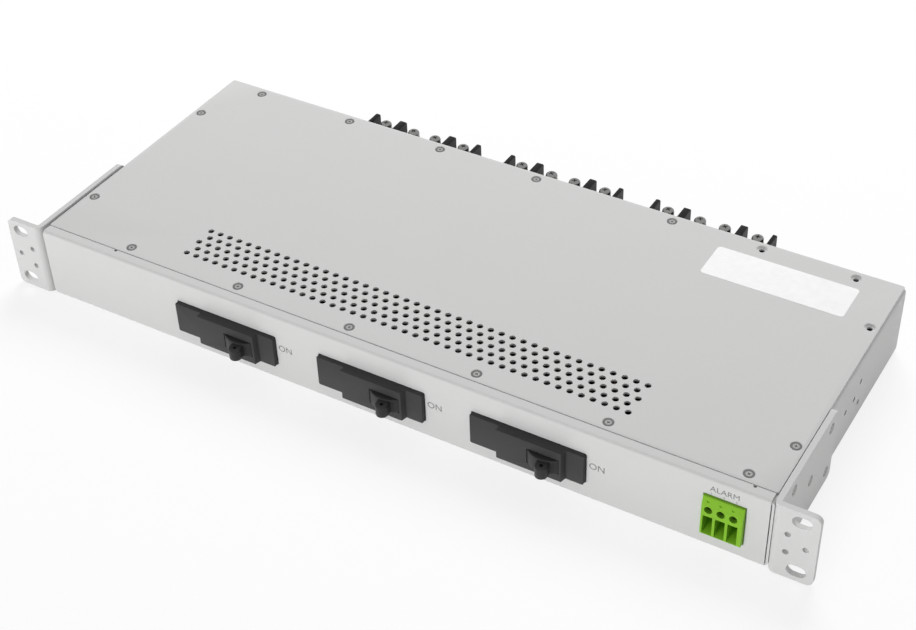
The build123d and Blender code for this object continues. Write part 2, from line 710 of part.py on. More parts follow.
def make_stud_bar(stud_x, pole_x, name):
    """Copper bar: an upright on the breaker's stud, then flat to its rear terminal."""
    half = BAR_WIDTH / 2
    shift = abs(pole_x - stud_x)
    lean = half if pole_x > stud_x else -half
    bend_end = REAR_INSIDE - BLOCK_NECK_DEPTH - BAR_STRAIGHT - half
    bend_start = bend_end - shift
    outline = [
        (stud_x - half, BREAKER_BACK),
        (stud_x + half, BREAKER_BACK),
        (stud_x + half, bend_start - lean),
        (pole_x + half, bend_end - lean),
        (pole_x + half, TERMINAL_Y),
        (pole_x - half, TERMINAL_Y),
        (pole_x - half, bend_end + lean),
        (stud_x - half, bend_start + lean),
    ]
    foot = BREAKER_LEVEL - BAR_WIDTH / 2
    with BuildPart() as bar:
        with BuildSketch(Plane.XY.offset(BAR_LEVEL)):
            with BuildLine():
                Polyline(*outline, close=True)
            make_face()
            with Locations((pole_x, TERMINAL_Y)):
                Circle(half)
        extrude(amount=BAR_THICK)
        with BuildSketch(Plane.XY.offset(foot)):
            with Locations((stud_x, BREAKER_BACK + BAR_THICK / 2)):
                Rectangle(BAR_WIDTH, BAR_THICK)
        extrude(amount=BAR_TOP - foot)
        outer = bar.edges().filter_by(Axis.X).group_by(Axis.Y)[0].sort_by(Axis.Z)[-1]
        fillet(outer, BAR_THICK)
        with BuildSketch(Plane.XZ.offset(-BREAKER_BACK)):
            with Locations((stud_x, BREAKER_LEVEL)):
                Circle(STUD_DIAMETER / 2 + HOLE_FIT)
        extrude(amount=-BAR_THICK, mode=Mode.SUBTRACT)
        with BuildSketch(Plane.XY.offset(BAR_LEVEL)):
            with Locations((pole_x, TERMINAL_Y)):
                Circle(TERMINAL_SCREW / 2 + HOLE_FIT)
        extrude(amount=BAR_THICK, mode=Mode.SUBTRACT)
    keep(bar, name)


def make_return_link(group, name):
    """Flat copper U that joins the two inner terminals of a group."""
    neck_front = REAR_INSIDE - BLOCK_NECK_DEPTH - BAR_FIT
    bridge = neck_front - BAR_WIDTH
    ends = [(group - POLE_INNER, TERMINAL_Y), (group + POLE_INNER, TERMINAL_Y)]
    with BuildPart() as link:
        with BuildSketch(Plane.XY.offset(BAR_LEVEL)):
            with Locations((group, (bridge + TERMINAL_Y) / 2)):
                Rectangle(2 * POLE_INNER + BAR_WIDTH, TERMINAL_Y - bridge)
            with Locations(*ends):
                Circle(BAR_WIDTH / 2)
            with Locations((group, neck_front + TERMINAL_Y / 2)):
                Rectangle(2 * POLE_INNER - BAR_WIDTH, TERMINAL_Y, mode=Mode.SUBTRACT)
            with Locations(*ends):
                Circle(TERMINAL_SCREW / 2 + HOLE_FIT, mode=Mode.SUBTRACT)
        extrude(amount=BAR_THICK)
    keep(link, name)


def make_terminal_block(group, side, name):
    """Moulded barrier block: flange, neck through the wall, base plate, posts and two fins."""
    outer = group + side * BLOCK_HALF
    inner = group + side * BLOCK_MIDDLE_GAP
    middle = (outer + inner) / 2
    width = abs(outer - inner)
    neck = width - 2 * BLOCK_NECK_MARGIN
    fin_middle = group + side * (POLE_INNER + POLE_OUTER) / 2
    platform = BAR_LEVEL - PLATFORM_DROP
    fin_tip = CHASSIS_REAR + FIN_REACH
    post = BAR_WIDTH / 2 + PEDESTAL_MARGIN
    fins = [(min(outer, outer - side * FIN_OUTER), FIN_OUTER), (fin_middle - FIN_MIDDLE / 2, FIN_MIDDLE)]
    poles = [group + side * POLE_INNER, group + side * POLE_OUTER]
    with BuildPart() as block:
        # Flange against the outside of the rear wall
        with BuildSketch(Plane.XZ.offset(-CHASSIS_REAR)):
            with Locations((middle, (BLOCK_TOP + BLOCK_LOW) / 2)):
                Rectangle(width, BLOCK_TOP - BLOCK_LOW)
        extrude(amount=-BLOCK_FLANGE)
        # Neck through the wall
        with BuildSketch(Plane.XZ.offset(-CHASSIS_REAR)):
            with Locations((middle, (BLOCK_NECK_TOP + BLOCK_NECK_LOW) / 2)):
                Rectangle(neck, BLOCK_NECK_TOP - BLOCK_NECK_LOW)
        extrude(amount=SHEET + BLOCK_NECK_DEPTH)
        # Base plate, and a round-ended post under each tab
        with BuildSketch(Plane.XY.offset(platform)):
            with Locations((middle, (CHASSIS_REAR + fin_tip) / 2)):
                Rectangle(width, FIN_REACH)
        extrude(amount=PLATFORM_THICK)
        with BuildSketch(Plane.XY.offset(platform)):
            with Locations(*[(x, (CHASSIS_REAR + TERMINAL_Y) / 2) for x in poles]):
                Rectangle(2 * post, TERMINAL_SETBACK)
            with Locations(*[(x, TERMINAL_Y) for x in poles]):
                Circle(post)
        extrude(amount=PLATFORM_DROP)
        # Fins between the poles, their rear corners rounded
        for start, thick in fins:
            with BuildSketch(Plane.YZ.offset(start)):
                with Locations(((CHASSIS_REAR + fin_tip) / 2, (platform + FIN_TOP) / 2)):
                    Rectangle(FIN_REACH, FIN_TOP - platform)
            extrude(amount=thick)
        tips = block.edges().filter_by(Axis.X).group_by(Axis.Y)[-1].group_by(Axis.Z)[-1]
        fillet(tips, FIN_ROUND)
        # Slots for the bars through the neck and flange
        with BuildSketch(Plane.XZ.offset(-CHASSIS_REAR + SHEET + BLOCK_NECK_DEPTH)):
            with Locations(*[(x, BAR_LEVEL + (BAR_THICK + BAR_FIT) / 2) for x in poles]):
                Rectangle(BAR_WIDTH + 2 * BAR_FIT, BAR_THICK + BAR_FIT)
        extrude(amount=-(SHEET + BLOCK_NECK_DEPTH + BLOCK_FLANGE), mode=Mode.SUBTRACT)
        # Screw holes in the platform and in the flange
        with BuildSketch(Plane.XY.offset(BAR_LEVEL)):
            with Locations(*[(x, TERMINAL_Y) for x in poles]):
                Circle(TERMINAL_SCREW / 2 + HOLE_FIT)
        extrude(amount=-PLATFORM_DROP, mode=Mode.SUBTRACT)
        with BuildSketch(Plane.XZ.offset(-CHASSIS_REAR)):
            with Locations(*[p for p in block_screw_places() if abs(p[0] - middle) < width / 2]):
                Circle(SMALL_SCREW / 2 + HOLE_FIT)
        extrude(amount=-BLOCK_FLANGE, mode=Mode.SUBTRACT)
    keep(block, name)


def make_terminal_screws():
    """Pan-head screws that clamp the lugs, each over its flat washer."""
    level = BAR_TOP + WASHER_THICK
    poles = [g + x for g in GROUPS for x in (-POLE_OUTER, -POLE_INNER, POLE_INNER, POLE_OUTER)]
    planes = [Plane(origin=(x, TERMINAL_Y, level)) for x in poles]
    sizes = (TERMINAL_SCREW, TERMINAL_HEAD, TERMINAL_HEAD_HEIGHT)
    length = WASHER_THICK + BAR_THICK + PLATFORM_DROP
    make_group("terminal_screws", [pan_head_screw(p, *sizes, length) for p in planes])
    washers = []
    for plane in planes:
        with BuildPart() as washer:
            with BuildSketch(plane):
                RegularPolygon(WASHER_DIAMETER / 2, SCREW_SIDES)
                RegularPolygon(TERMINAL_SCREW / 2 + HOLE_FIT, SCREW_SIDES, mode=Mode.SUBTRACT)
            extrude(amount=-WASHER_THICK)
        washers.append(washer.part)
    make_group("terminal_washers", washers)


def make_block_screws():
    """Pan-head screws that hold the terminal blocks to the rear wall."""
    planes = [
        Plane(origin=(x, BLOCK_FACE, z), x_dir=(1, 0, 0), z_dir=(0, 1, 0))
        for x, z in block_screw_places()
    ]
    sizes = (SMALL_SCREW, SMALL_HEAD, SMALL_HEAD_HEIGHT)
    make_group("block_screws", [pan_head_screw(p, *sizes, BLOCK_FLANGE + 2 * SHEET) for p in planes])


def make_alarm_plug():
    """Three-pole plug: bevelled top, clamp screw holes and funnel-shaped wire entries."""
    top = PLUG_LOW + PLUG_HEIGHT
    profile = [
        (PLUG_BACK, PLUG_LOW),
        (PLUG_FACE, PLUG_LOW),
        (PLUG_FACE, top - PLUG_BEVEL_RISE),
        (PLUG_FACE + PLUG_BEVEL, top),
        (PLUG_BACK, top),
    ]
    wire_low = PLUG_LOW + WIRE_LOW
    funnel = [
        (PLUG_FACE, wire_low),
        (PLUG_FACE, wire_low + WIRE_HEIGHT),
        (PLUG_FACE + WIRE_DEPTH, wire_low + WIRE_HEIGHT),
        (PLUG_FACE + WIRE_DEPTH, wire_low + WIRE_RAMP),
    ]
    with BuildPart() as plug:
        with BuildSketch(Plane.YZ.offset(PLUG_CENTRE - PLUG_WIDTH / 2)):
            with BuildLine():
                Polyline(*profile, close=True)
            make_face()
        extrude(amount=PLUG_WIDTH)
        for x in plug_poles():
            with BuildSketch(Plane.YZ.offset(x - WIRE_WIDTH / 2)):
                with BuildLine():
                    Polyline(*funnel, close=True)
                make_face()
            extrude(amount=WIRE_WIDTH, mode=Mode.SUBTRACT)
        with BuildSketch(Plane.XZ.offset(-PLUG_FACE)):
            with Locations(*[(x, PLUG_LOW + CLAMP_LEVEL) for x in plug_poles()]):
                Circle(CLAMP_HOLE / 2)
        extrude(amount=-CLAMP_DEPTH, mode=Mode.SUBTRACT)
        with BuildSketch(Plane.XZ.offset(-PLUG_BACK)):
            with Locations(*[(x, PIN_Z) for x in plug_poles()]):
                Rectangle(SOCKET, SOCKET)
        extrude(amount=PIN_REACH, mode=Mode.SUBTRACT)
    keep(plug, "alarm_plug")


def make_plug_screws():
    """Slotted screws at the bottom of the plug's round holes."""
    face = PLUG_FACE + CLAMP_DEPTH - CLAMP_SCREW_LENGTH
    solids = []
    for x in plug_poles():
        with BuildPart() as screw:
            with BuildSketch(Plane.XZ.offset(-face)):
                with Locations((x, PLUG_LOW + CLAMP_LEVEL)):
                    RegularPolygon(CLAMP_SCREW / 2, SCREW_SIDES)
            extrude(amount=-CLAMP_SCREW_LENGTH)
            with BuildSketch(Plane.XZ.offset(-face)):
                with Locations((x, PLUG_LOW + CLAMP_LEVEL)):
                    Rectangle(CLAMP_SCREW, CLAMP_SLOT, rotation=CLAMP_SLOT_TURN)
            extrude(amount=-CLAMP_SLOT, mode=Mode.SUBTRACT)
        solids.append(screw.part)
    make_group("plug_screws", solids)


def make_alarm_header():
    """Open shroud on the board that the plug pushes into."""
    front = FRONT_INSIDE + CORNER_GAP
    width = PLUG_WIDTH + 2 * PLUG_FIT
    height = PLUG_HEIGHT + 2 * PLUG_FIT
    back = PLUG_BACK + PLUG_FIT
    with BuildPart() as header:
        with BuildSketch(Plane.XZ.offset(-front)):
            with Locations((PLUG_CENTRE, PLUG_MIDDLE)):
                Rectangle(width + 2 * HEADER_WALL, height + 2 * HEADER_WALL)
        extrude(amount=-(back + HEADER_BACK - front))
        with BuildSketch(Plane.XZ.offset(-front)):
            with Locations((PLUG_CENTRE, PLUG_MIDDLE)):
                Rectangle(width, height)
        extrude(amount=-(back - front), mode=Mode.SUBTRACT)
        with BuildSketch(Plane.XZ.offset(-back)):
            with Locations(*[(x, PIN_Z) for x in plug_poles()]):
                Rectangle(PIN_SIDE, PIN_SIDE)
        extrude(amount=-HEADER_BACK, mode=Mode.SUBTRACT)
    keep(header, "alarm_header")


def make_header_pins():
    """Square pins: into the plug at the front, bent down into the board behind."""
    half = PIN_SIDE / 2
    tip = PLUG_BACK - PIN_REACH + PLUG_FIT
    tail = PLUG_BACK + PLUG_FIT + HEADER_BACK + PIN_SIDE
    foot = BOARD_LOW - PIN_SIDE
    profile = [
        (tip, PIN_Z + half),
        (tip, PIN_Z - half),
        (tail - half, PIN_Z - half),
        (tail - half, foot),
        (tail + half, foot),
        (tail + half, PIN_Z + half),
    ]
    solids = []
    for x in plug_poles():
        with BuildPart() as pin:
            with BuildSketch(Plane.YZ.offset(x - half)):
                with BuildLine():
                    Polyline(*profile, close=True)
                make_face()
            extrude(amount=PIN_SIDE)
        solids.append(pin.part)
    make_group("header_pins", solids)


def make_alarm_board():
    """Printed board under the header, on four posts."""
    front = FRONT_INSIDE + CORNER_GAP
    tail = PLUG_BACK + PLUG_FIT + HEADER_BACK + PIN_SIDE
    with BuildPart() as board:
        with BuildSketch(Plane.XY.offset(BOARD_LOW)):
            with Locations((PLUG_CENTRE, front + BOARD_DEPTH / 2)):
                Rectangle(BOARD_WIDTH, BOARD_DEPTH)
            with Locations(*board_post_places()):
                Circle(SMALL_SCREW / 2 + HOLE_FIT, mode=Mode.SUBTRACT)
            with Locations(*[(x, tail) for x in plug_poles()]):
                Rectangle(PIN_SIDE + HOLE_FIT, PIN_SIDE + HOLE_FIT, mode=Mode.SUBTRACT)
        extrude(amount=BOARD_THICK)
    keep(board, "alarm_board")


def make_board_posts():
    """Hexagon posts that hold the board above the floor."""
    solids = []
    for x, y in board_post_places():
        with BuildPart() as post:
            with BuildSketch(Plane.XY.offset(FLOOR_TOP)):
                with Locations((x, y)):
                    RegularPolygon(SMALL_HEAD / 2, NUT_SIDES)
            extrude(amount=BOARD_LOW - FLOOR_TOP)
            with BuildSketch(Plane.XY.offset(FLOOR_TOP)):
                with Locations((x, y)):
                    RegularPolygon(SMALL_SCREW / 2, SCREW_SIDES)
            extrude(amount=-SHEET + POST_FOOT)
        solids.append(post.part)
    make_group("board_posts", solids)


def make_board_screws():
    """Pan-head screws that hold the board on its posts."""
    planes = [Plane(origin=(x, y, BOARD_LOW + BOARD_THICK)) for x, y in board_post_places()]
    sizes = (SMALL_SCREW, SMALL_HEAD, SMALL_HEAD_HEIGHT)
    make_group("board_screws", [pan_head_screw(p, *sizes, BOARD_THICK) for p in planes])


def main():
    os.makedirs("parts", exist_ok=True)
    make_base_chassis()
    make_top_cover()
    make_cover_screws()
    for side, word in ((-1, "left"), (1, "right")):
        make_ear(side, f"{word}_ear")
        make_ear_screws(side, f"{word}_ear_screws")
    for number, (centre, group) in enumerate(zip(BREAKERS, GROUPS), start=1):
        make_breaker(centre, f"breaker_{number}")
        make_toggle(centre, f"toggle_{number}")
        make_toggle_pin(centre, f"toggle_pin_{number}")
        make_bracket(centre, f"breaker_bracket_{number}")
        make_stud_bar(centre - STUD_SPREAD / 2, group - POLE_OUTER, f"line_bar_{number}")
        make_stud_bar(centre + STUD_SPREAD / 2, group + POLE_OUTER, f"load_bar_{number}")
        make_return_link(group, f"return_link_{number}")
        make_terminal_block(group, -1, f"terminal_block_left_{number}")
        make_terminal_block(group, 1, f"terminal_block_right_{number}")
    make_bracket_screws()
    make_breaker_studs()
    make_stud_nuts()
    make_terminal_screws()
    make_block_screws()
    make_alarm_plug()
    make_plug_screws()
    make_alarm_header()
    make_header_pins()
    make_alarm_board()
    make_board_posts()
    make_board_screws()


main()
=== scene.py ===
"""Looks of the rack breaker panel: materials, screws, perforated cover, breakers and plug.

Metres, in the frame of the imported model: +Z up, +X along the width, +Y to the rear.
"""
import json
from math import cos, pi, radians, sin

import bmesh
import bpy
from bpy.props import FloatProperty, FloatVectorProperty, IntProperty, PointerProperty
from mathutils import Matrix, Vector


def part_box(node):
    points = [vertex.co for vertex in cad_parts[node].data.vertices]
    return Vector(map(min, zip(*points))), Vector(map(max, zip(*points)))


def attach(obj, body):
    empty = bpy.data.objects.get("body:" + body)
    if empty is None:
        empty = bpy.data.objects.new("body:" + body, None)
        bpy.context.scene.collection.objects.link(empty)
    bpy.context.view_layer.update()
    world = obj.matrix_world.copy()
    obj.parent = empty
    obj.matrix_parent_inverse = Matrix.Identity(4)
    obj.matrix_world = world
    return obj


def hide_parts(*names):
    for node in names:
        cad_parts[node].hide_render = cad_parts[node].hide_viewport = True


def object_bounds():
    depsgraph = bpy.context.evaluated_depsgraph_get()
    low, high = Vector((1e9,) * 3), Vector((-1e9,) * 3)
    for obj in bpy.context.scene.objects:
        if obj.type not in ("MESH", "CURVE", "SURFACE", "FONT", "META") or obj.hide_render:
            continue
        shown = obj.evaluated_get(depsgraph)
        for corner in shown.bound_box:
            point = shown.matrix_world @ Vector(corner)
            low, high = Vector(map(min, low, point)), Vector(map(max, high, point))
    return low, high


bl_info = {
    "name": "Rack breaker panel",
    "version": (1, 0, 0),
    "blender": (4, 5, 0),
    "location": "3D View > Sidebar > Panel",
    "description": "Builds the visible pieces of a rack breaker panel on its packed frame",
    "category": "Object",
}

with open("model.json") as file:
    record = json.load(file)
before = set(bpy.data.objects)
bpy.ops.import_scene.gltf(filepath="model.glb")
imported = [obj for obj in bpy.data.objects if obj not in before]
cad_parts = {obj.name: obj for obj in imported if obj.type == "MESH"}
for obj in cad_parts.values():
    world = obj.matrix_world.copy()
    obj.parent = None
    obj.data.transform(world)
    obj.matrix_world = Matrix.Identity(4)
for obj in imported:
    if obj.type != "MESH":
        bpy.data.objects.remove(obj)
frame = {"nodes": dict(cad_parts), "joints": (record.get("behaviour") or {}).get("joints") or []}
CAD_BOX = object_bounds()
MM = 0.001
BREAKER_NUMBERS = (1, 2, 3)
TINY = 1e-9


# Sizes and colours that a user would change

class PanelSizes(bpy.types.PropertyGroup):
    """Sizes of the pieces that are dressed here"""

    vent_hole: FloatProperty(
        name="Vent hole", description="Diameter of a vent hole", default=3.5 * MM, subtype="DISTANCE")
    vent_pitch: FloatProperty(
        name="Vent pitch", description="Spacing of the vent holes in a row", default=6.35 * MM,
        subtype="DISTANCE")
    vent_row: FloatProperty(
        name="Vent row", description="Spacing of the rows of vent holes", default=5.5 * MM,
        subtype="DISTANCE")
    vent_columns: IntProperty(
        name="Vent columns", description="Holes in the longer rows", default=43, min=2)
    vent_front: FloatProperty(
        name="Vent front", description="First row behind the cover's front edge", default=16.0 * MM,
        subtype="DISTANCE")
    vent_middle: FloatProperty(
        name="Vent middle", description="Middle of the vent field along the width", default=-0.45 * MM,
        subtype="DISTANCE")
    countersink: FloatProperty(
        name="Countersink", description="Diameter of the countersink round a screw", default=6.4 * MM,
        subtype="DISTANCE")
    flat_head: FloatProperty(
        name="Flat head", description="Diameter of a countersunk head", default=5.8 * MM, subtype="DISTANCE")
    recess: FloatProperty(
        name="Recess", description="Length of a cross recess", default=2.3 * MM, subtype="DISTANCE")
    edge_round: FloatProperty(
        name="Edge round", description="Rounding of moulded edges", default=0.3 * MM, subtype="DISTANCE")
    letter_height: FloatProperty(
        name="Letter height", description="Height of the lettering beside a breaker", default=4.0 * MM,
        subtype="DISTANCE")


class PanelColours(bpy.types.PropertyGroup):
    """Colours of the finishes"""

    coat: FloatVectorProperty(
        name="Coat", description="Light grey powder coat", default=(0.62, 0.62, 0.615), subtype="COLOR")
    case: FloatVectorProperty(
        name="Case", description="Black moulding of a breaker", default=(0.052, 0.052, 0.053),
        subtype="COLOR")
    # The toggle black is the case's black made darker: painted shade for the toggle, which mostly lies in
    # shadow in its pocket.
    toggle: FloatVectorProperty(
        name="Toggle", description="Black moulding of a toggle", default=(0.03, 0.03, 0.03), subtype="COLOR")
    block: FloatVectorProperty(
        name="Block", description="Black moulding of a terminal block", default=(0.01, 0.01, 0.011),
        subtype="COLOR")
    plug: FloatVectorProperty(
        name="Plug", description="Green moulding of the alarm plug", default=(0.21, 0.465, 0.02),
        subtype="COLOR")
    steel: FloatVectorProperty(
        name="Steel", description="Plated steel of the fasteners", default=(0.4, 0.4, 0.39), subtype="COLOR")
    ink: FloatVectorProperty(
        name="Ink", description="Grey printing on the front", default=(0.2, 0.2, 0.2), subtype="COLOR")
    head: FloatVectorProperty(
        name="Head", description="Darkened steel of the flat screw heads", default=(0.17, 0.17, 0.17),
        subtype="COLOR")


def sizes():
    """The sizes held by the scene."""
    return bpy.context.scene.panel_sizes


def colours():
    """The colours held by the scene."""
    return bpy.context.scene.panel_colours


# Helpers for node trees

def named_sockets(tree, inputs, outputs):
    """Gives a node tree its named inputs, with their defaults, and its outputs."""
    for name, kind, value in inputs:
        socket = tree.interface.new_socket(name, in_out="INPUT", socket_type=kind)
        if value is not None:
            socket.default_value = value
    for name, kind in outputs:
        tree.interface.new_socket(name, in_out="OUTPUT", socket_type=kind)


def new_node(tree, kind, inputs=(), **settings):
    """A new node with its settings, and with values or other nodes' outputs on its inputs."""
    node = tree.nodes.new(kind)
    for name, value in settings.items():
        setattr(node, name, value)
    for place, value in dict(inputs).items():
        if isinstance(value, bpy.types.NodeSocket):
            tree.links.new(value, node.inputs[place])
        else:
            node.inputs[place].default_value = value
    return node


def math_node(tree, operation, *values):
    """The output of a new math node."""
    return new_node(tree, "ShaderNodeMath", enumerate(values), operation=operation).outputs[0]


# Shader node groups shared by several finishes

CLOUD_SCALE = 28.0
PLATING_LINES = (900, 900, 2500)


def finish_group(name, inputs):
    """A new group that puts out a colour, a roughness and a normal, and its input sockets."""
    group = bpy.data.node_groups.new(name, "ShaderNodeTree")
    named_sockets(group, inputs, [
        ("Colour", "NodeSocketColor"), ("Roughness", "NodeSocketFloat"), ("Normal", "NodeSocketVector")])
    return group, new_node(group, "NodeGroupInput").outputs


def noise(group, place, scale, detail):
    """The value of a noise texture."""
    inputs = {"Vector": place, "Scale": scale, "Detail": detail}
    return new_node(group, "ShaderNodeTexNoise", inputs).outputs["Fac"]


def end_group(group, inside, factor, rough, height):
    """Ends a finish group with the tinted colour, the roughness and the bumped normal."""
    tint = new_node(group, "ShaderNodeVectorMath", {0: inside["Colour"], "Scale": factor}, operation="SCALE")
    bump = new_node(group, "ShaderNodeBump", {"Distance": inside["Depth"], "Height": height})
    new_node(group, "NodeGroupOutput", {
        "Colour": tint.outputs[0], "Roughness": rough, "Normal": bump.outputs["Normal"]})
    return group


def fine_grain_group():
    """Fine surface grain, with slow clouds in the colour and the roughness."""
    name = "fine grain"
    if name in bpy.data.node_groups:
        return bpy.data.node_groups[name]
    group, inside = finish_group(name, [
        ("Colour", "NodeSocketColor", (0.5, 0.5, 0.5, 1)), ("Grain Size", "NodeSocketFloat", 0.0006),
        ("Depth", "NodeSocketFloat", 0.00002), ("Mottle", "NodeSocketFloat", 0.05),
        ("Roughness", "NodeSocketFloat", 0.5), ("Roughness Spread", "NodeSocketFloat", 0.1)])
    place = new_node(group, "ShaderNodeTexCoord").outputs["Object"]
    scale = math_node(group, "DIVIDE", 1.0, inside["Grain Size"])
    grain = noise(group, place, scale, 3.0)
    cloud = noise(group, place, CLOUD_SCALE, 4.0)
    centred = math_node(group, "SUBTRACT", math_node(group, "ADD", grain, cloud), 1.0)
    factor = math_node(group, "ADD", math_node(group, "MULTIPLY", centred, inside["Mottle"]), 1.0)
    rough = math_node(group, "MULTIPLY_ADD", centred, inside["Roughness Spread"], inside["Roughness"])
    return end_group(group, inside, factor, rough, grain)


def brushed_group():
    """Fine parallel lines in the colour, the roughness and the normal."""
    name = "brushed lines"
    if name in bpy.data.node_groups:
        return bpy.data.node_groups[name]
    group, inside = finish_group(name, [
        ("Colour", "NodeSocketColor", (0.5, 0.5, 0.5, 1)),
        ("Line Scale", "NodeSocketVector", (300, 4000, 4000)), ("Depth", "NodeSocketFloat", 0.00001),
        ("Contrast", "NodeSocketFloat", 0.2), ("Roughness", "NodeSocketFloat", 0.35)])
    place = new_node(group, "ShaderNodeTexCoord").outputs["Object"]
    stretch = new_node(group, "ShaderNodeVectorMath", {
        0: place, 1: inside["Line Scale"]}, operation="MULTIPLY")
    lines = noise(group, stretch.outputs[0], 1.0, 2.0)
    centred = math_node(group, "SUBTRACT", lines, 0.5)
    factor = math_node(group, "MULTIPLY_ADD", centred, inside["Contrast"], 1.0)
    rough = math_node(group, "MULTIPLY_ADD", centred, inside["Contrast"], inside["Roughness"])
    return end_group(group, inside, factor, rough, lines)


def new_finish(name, group, values, metallic=0.0, specular=0.5):
    """A material whose colour, roughness and normal come from a node group."""
    if name in bpy.data.materials:
        return bpy.data.materials[name]
    material = bpy.data.materials.new(name)
    material.use_nodes = True
    tree = material.node_tree
    surface = new_node(tree, "ShaderNodeGroup", values, node_tree=group)
    shader = tree.nodes["Principled BSDF"].inputs
    for output, place in (("Colour", "Base Color"), ("Roughness", "Roughness"), ("Normal", "Normal")):
        tree.links.new(surface.outputs[output], shader[place])
    shader["Metallic"].default_value = metallic
    shader["Specular IOR Level"].default_value = specular
    return material


def powder_coat():
    """The light grey coat of the sheet metal."""
    return new_finish("powder_coat", fine_grain_group(), {
        "Colour": (*colours().coat, 1), "Grain Size": 0.0011, "Depth": 0.00006, "Mottle": 0.035,
        "Roughness": 0.5, "Roughness Spread": 0.12}, specular=0.4)


def moulded(name, colour, roughness=0.45, depth=0.00003, grain=0.0005, specular=0.5):
    """A satin moulded plastic."""
    return new_finish(name, fine_grain_group(), {
        "Colour": (*colour, 1), "Grain Size": grain, "Depth": depth, "Mottle": 0.12,
        "Roughness": roughness, "Roughness Spread": 0.15}, specular=specular)


def plated_steel():
    """Dull zinc plating."""
    return new_finish("zinc_plate", brushed_group(), {
        "Colour": (*colours().steel, 1), "Line Scale": PLATING_LINES, "Depth": 0.00001,
        "Contrast": 0.25, "Roughness": 0.36}, metallic=1.0)


def worn_steel():
    """Dark steel, lighter in the middle round the recess where a point attribute of the head is 1."""
    name = "worn_steel"
    if name in bpy.data.materials:
        return bpy.data.materials[name]
    material = new_finish(name, brushed_group(), {
        "Line Scale": PLATING_LINES, "Depth": 0.00001, "Contrast": 0.3, "Roughness": 0.45}, metallic=0.6)
    tree = material.node_tree
    light_middle = new_node(tree, "ShaderNodeAttribute", attribute_name="light_middle")
    mix = new_node(tree, "ShaderNodeMix", {"Factor": light_middle.outputs["Fac"]}, data_type="RGBA")
    dark, bright = [socket for socket in mix.inputs if socket.type == "RGBA"]
    dark.default_value = (*colours().head, 1)
    bright.default_value = (*colours().steel, 1)
    surface = next(node for node in tree.nodes if node.type == "GROUP")
    tree.links.new(next(socket for socket in mix.outputs if socket.type == "RGBA"), surface.inputs["Colour"])
    return material


def terminal_steel():
    """Brighter nickel plating."""
    return new_finish("nickel_plate", brushed_group(), {
        "Colour": (0.24, 0.24, 0.236, 1), "Line Scale": PLATING_LINES, "Depth": 0.00001,
        "Contrast": 0.35, "Roughness": 0.3}, metallic=1.0)


def bare_copper():
    """Drawn copper bar."""
    return new_finish("bare_copper", brushed_group(), {
        "Colour": (0.42, 0.23, 0.15, 1), "Line Scale": (3000, 200, 3000), "Depth": 0.00001,
        "Contrast": 0.3, "Roughness": 0.38}, metallic=1.0)


# Mesh helpers

SMOOTH_ANGLE = radians(35)
EDGE_ANGLE = radians(30)
MERGE_DISTANCE = 1e-7


def link_object(name, mesh):
    """Puts a new object in the scene."""
    piece = bpy.data.objects.new(name, mesh)
    bpy.context.scene.collection.objects.link(piece)
    return piece


def baked(piece, name):
    """The object with its modifiers worked into a plain mesh."""
    bpy.context.view_layer.update()
    graph = bpy.context.evaluated_depsgraph_get()
    mesh = bpy.data.meshes.new_from_object(piece.evaluated_get(graph), depsgraph=graph)
    bpy.data.objects.remove(piece)
    mesh.name = name
    return mesh


def add_piece(name, mesh, body, material, stands_for=()):
    """Links a finished mesh as a piece that rides on a body."""
    mesh.materials.clear()
    mesh.materials.append(material)
    piece = link_object(name, mesh)
    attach(piece, body)
    if stands_for:
        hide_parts(*stands_for)


def turned_out(bm, name):
    """The bmesh as a new mesh with its faces turned outwards."""
    bmesh.ops.recalc_face_normals(bm, faces=bm.faces)
    mesh = bpy.data.meshes.new(name)
    bm.to_mesh(mesh)
    bm.free()
    return mesh


def prism(outline, low, high, axis="Z"):
    """A mesh from a closed outline run between two levels along an axis."""
    bm = bmesh.new()
    order = {"Z": (0, 1, 2), "X": (2, 0, 1), "Y": (0, 2, 1)}[axis]
    bottom, top = [[bm.verts.new([(u, v, level)[i] for i in order]) for u, v in outline]
                   for level in (low, high)]
    bm.faces.new(bottom)
    bm.faces.new(top)
    for i in range(len(outline)):
        j = (i + 1) % len(outline)
        bm.faces.new((bottom[i], bottom[j], top[j], top[i]))
    return turned_out(bm, "prism")


def block(low, high):
    """A mesh of a box between two corners."""
    outline = [(low[0], low[1]), (high[0], low[1]), (high[0], high[1]), (low[0], high[1])]
    return prism(outline, low[2], high[2])


def circle(centre, radius, count, start=0.0, end=2 * pi):
    """Points round a circle, the end point left out for a whole turn."""
    whole = abs(end - start - 2 * pi) < TINY
    steps = count if whole else count - 1
    return [(centre[0] + radius * cos(start + (end - start) * i / steps),
             centre[1] + radius * sin(start + (end - start) * i / steps)) for i in range(count)]


def rounded_rectangle(low, high, corner, count):
    """The outline of a rectangle between two corners, each rounded by an arc of so many points."""
    outline = []
    for x, y, start in ((high[0] - corner, low[1] + corner, -90), (high[0] - corner, high[1] - corner, 0),
                        (low[0] + corner, high[1] - corner, 90), (low[0] + corner, low[1] + corner, 180)):
        outline += circle((x, y), corner, count, radians(start), radians(start + 90))
    return outline


def lathe(profile, count):
    """A closed mesh turned round the Z axis, from points as (radius, height)."""
    bm = bmesh.new()
    rings = []
    for radius, height in profile:
        points = circle((0, 0), radius, count) if radius > TINY else [(0, 0)]
        rings.append([bm.verts.new((x, y, height)) for x, y in points])
    for lower, upper in zip(rings, rings[1:]):
        for i in range(count):
            j = (i + 1) % count
            around = ((lower, i), (lower, j), (upper, j), (upper, i))
            corners = list(dict.fromkeys(ring[k % len(ring)] for ring, k in around))
            if len(corners) > 2:
                bm.faces.new(corners)
    for ring in (rings[0], rings[-1]):
        if len(ring) > 1:
            bm.faces.new(ring)
    return turned_out(bm, "lathe")


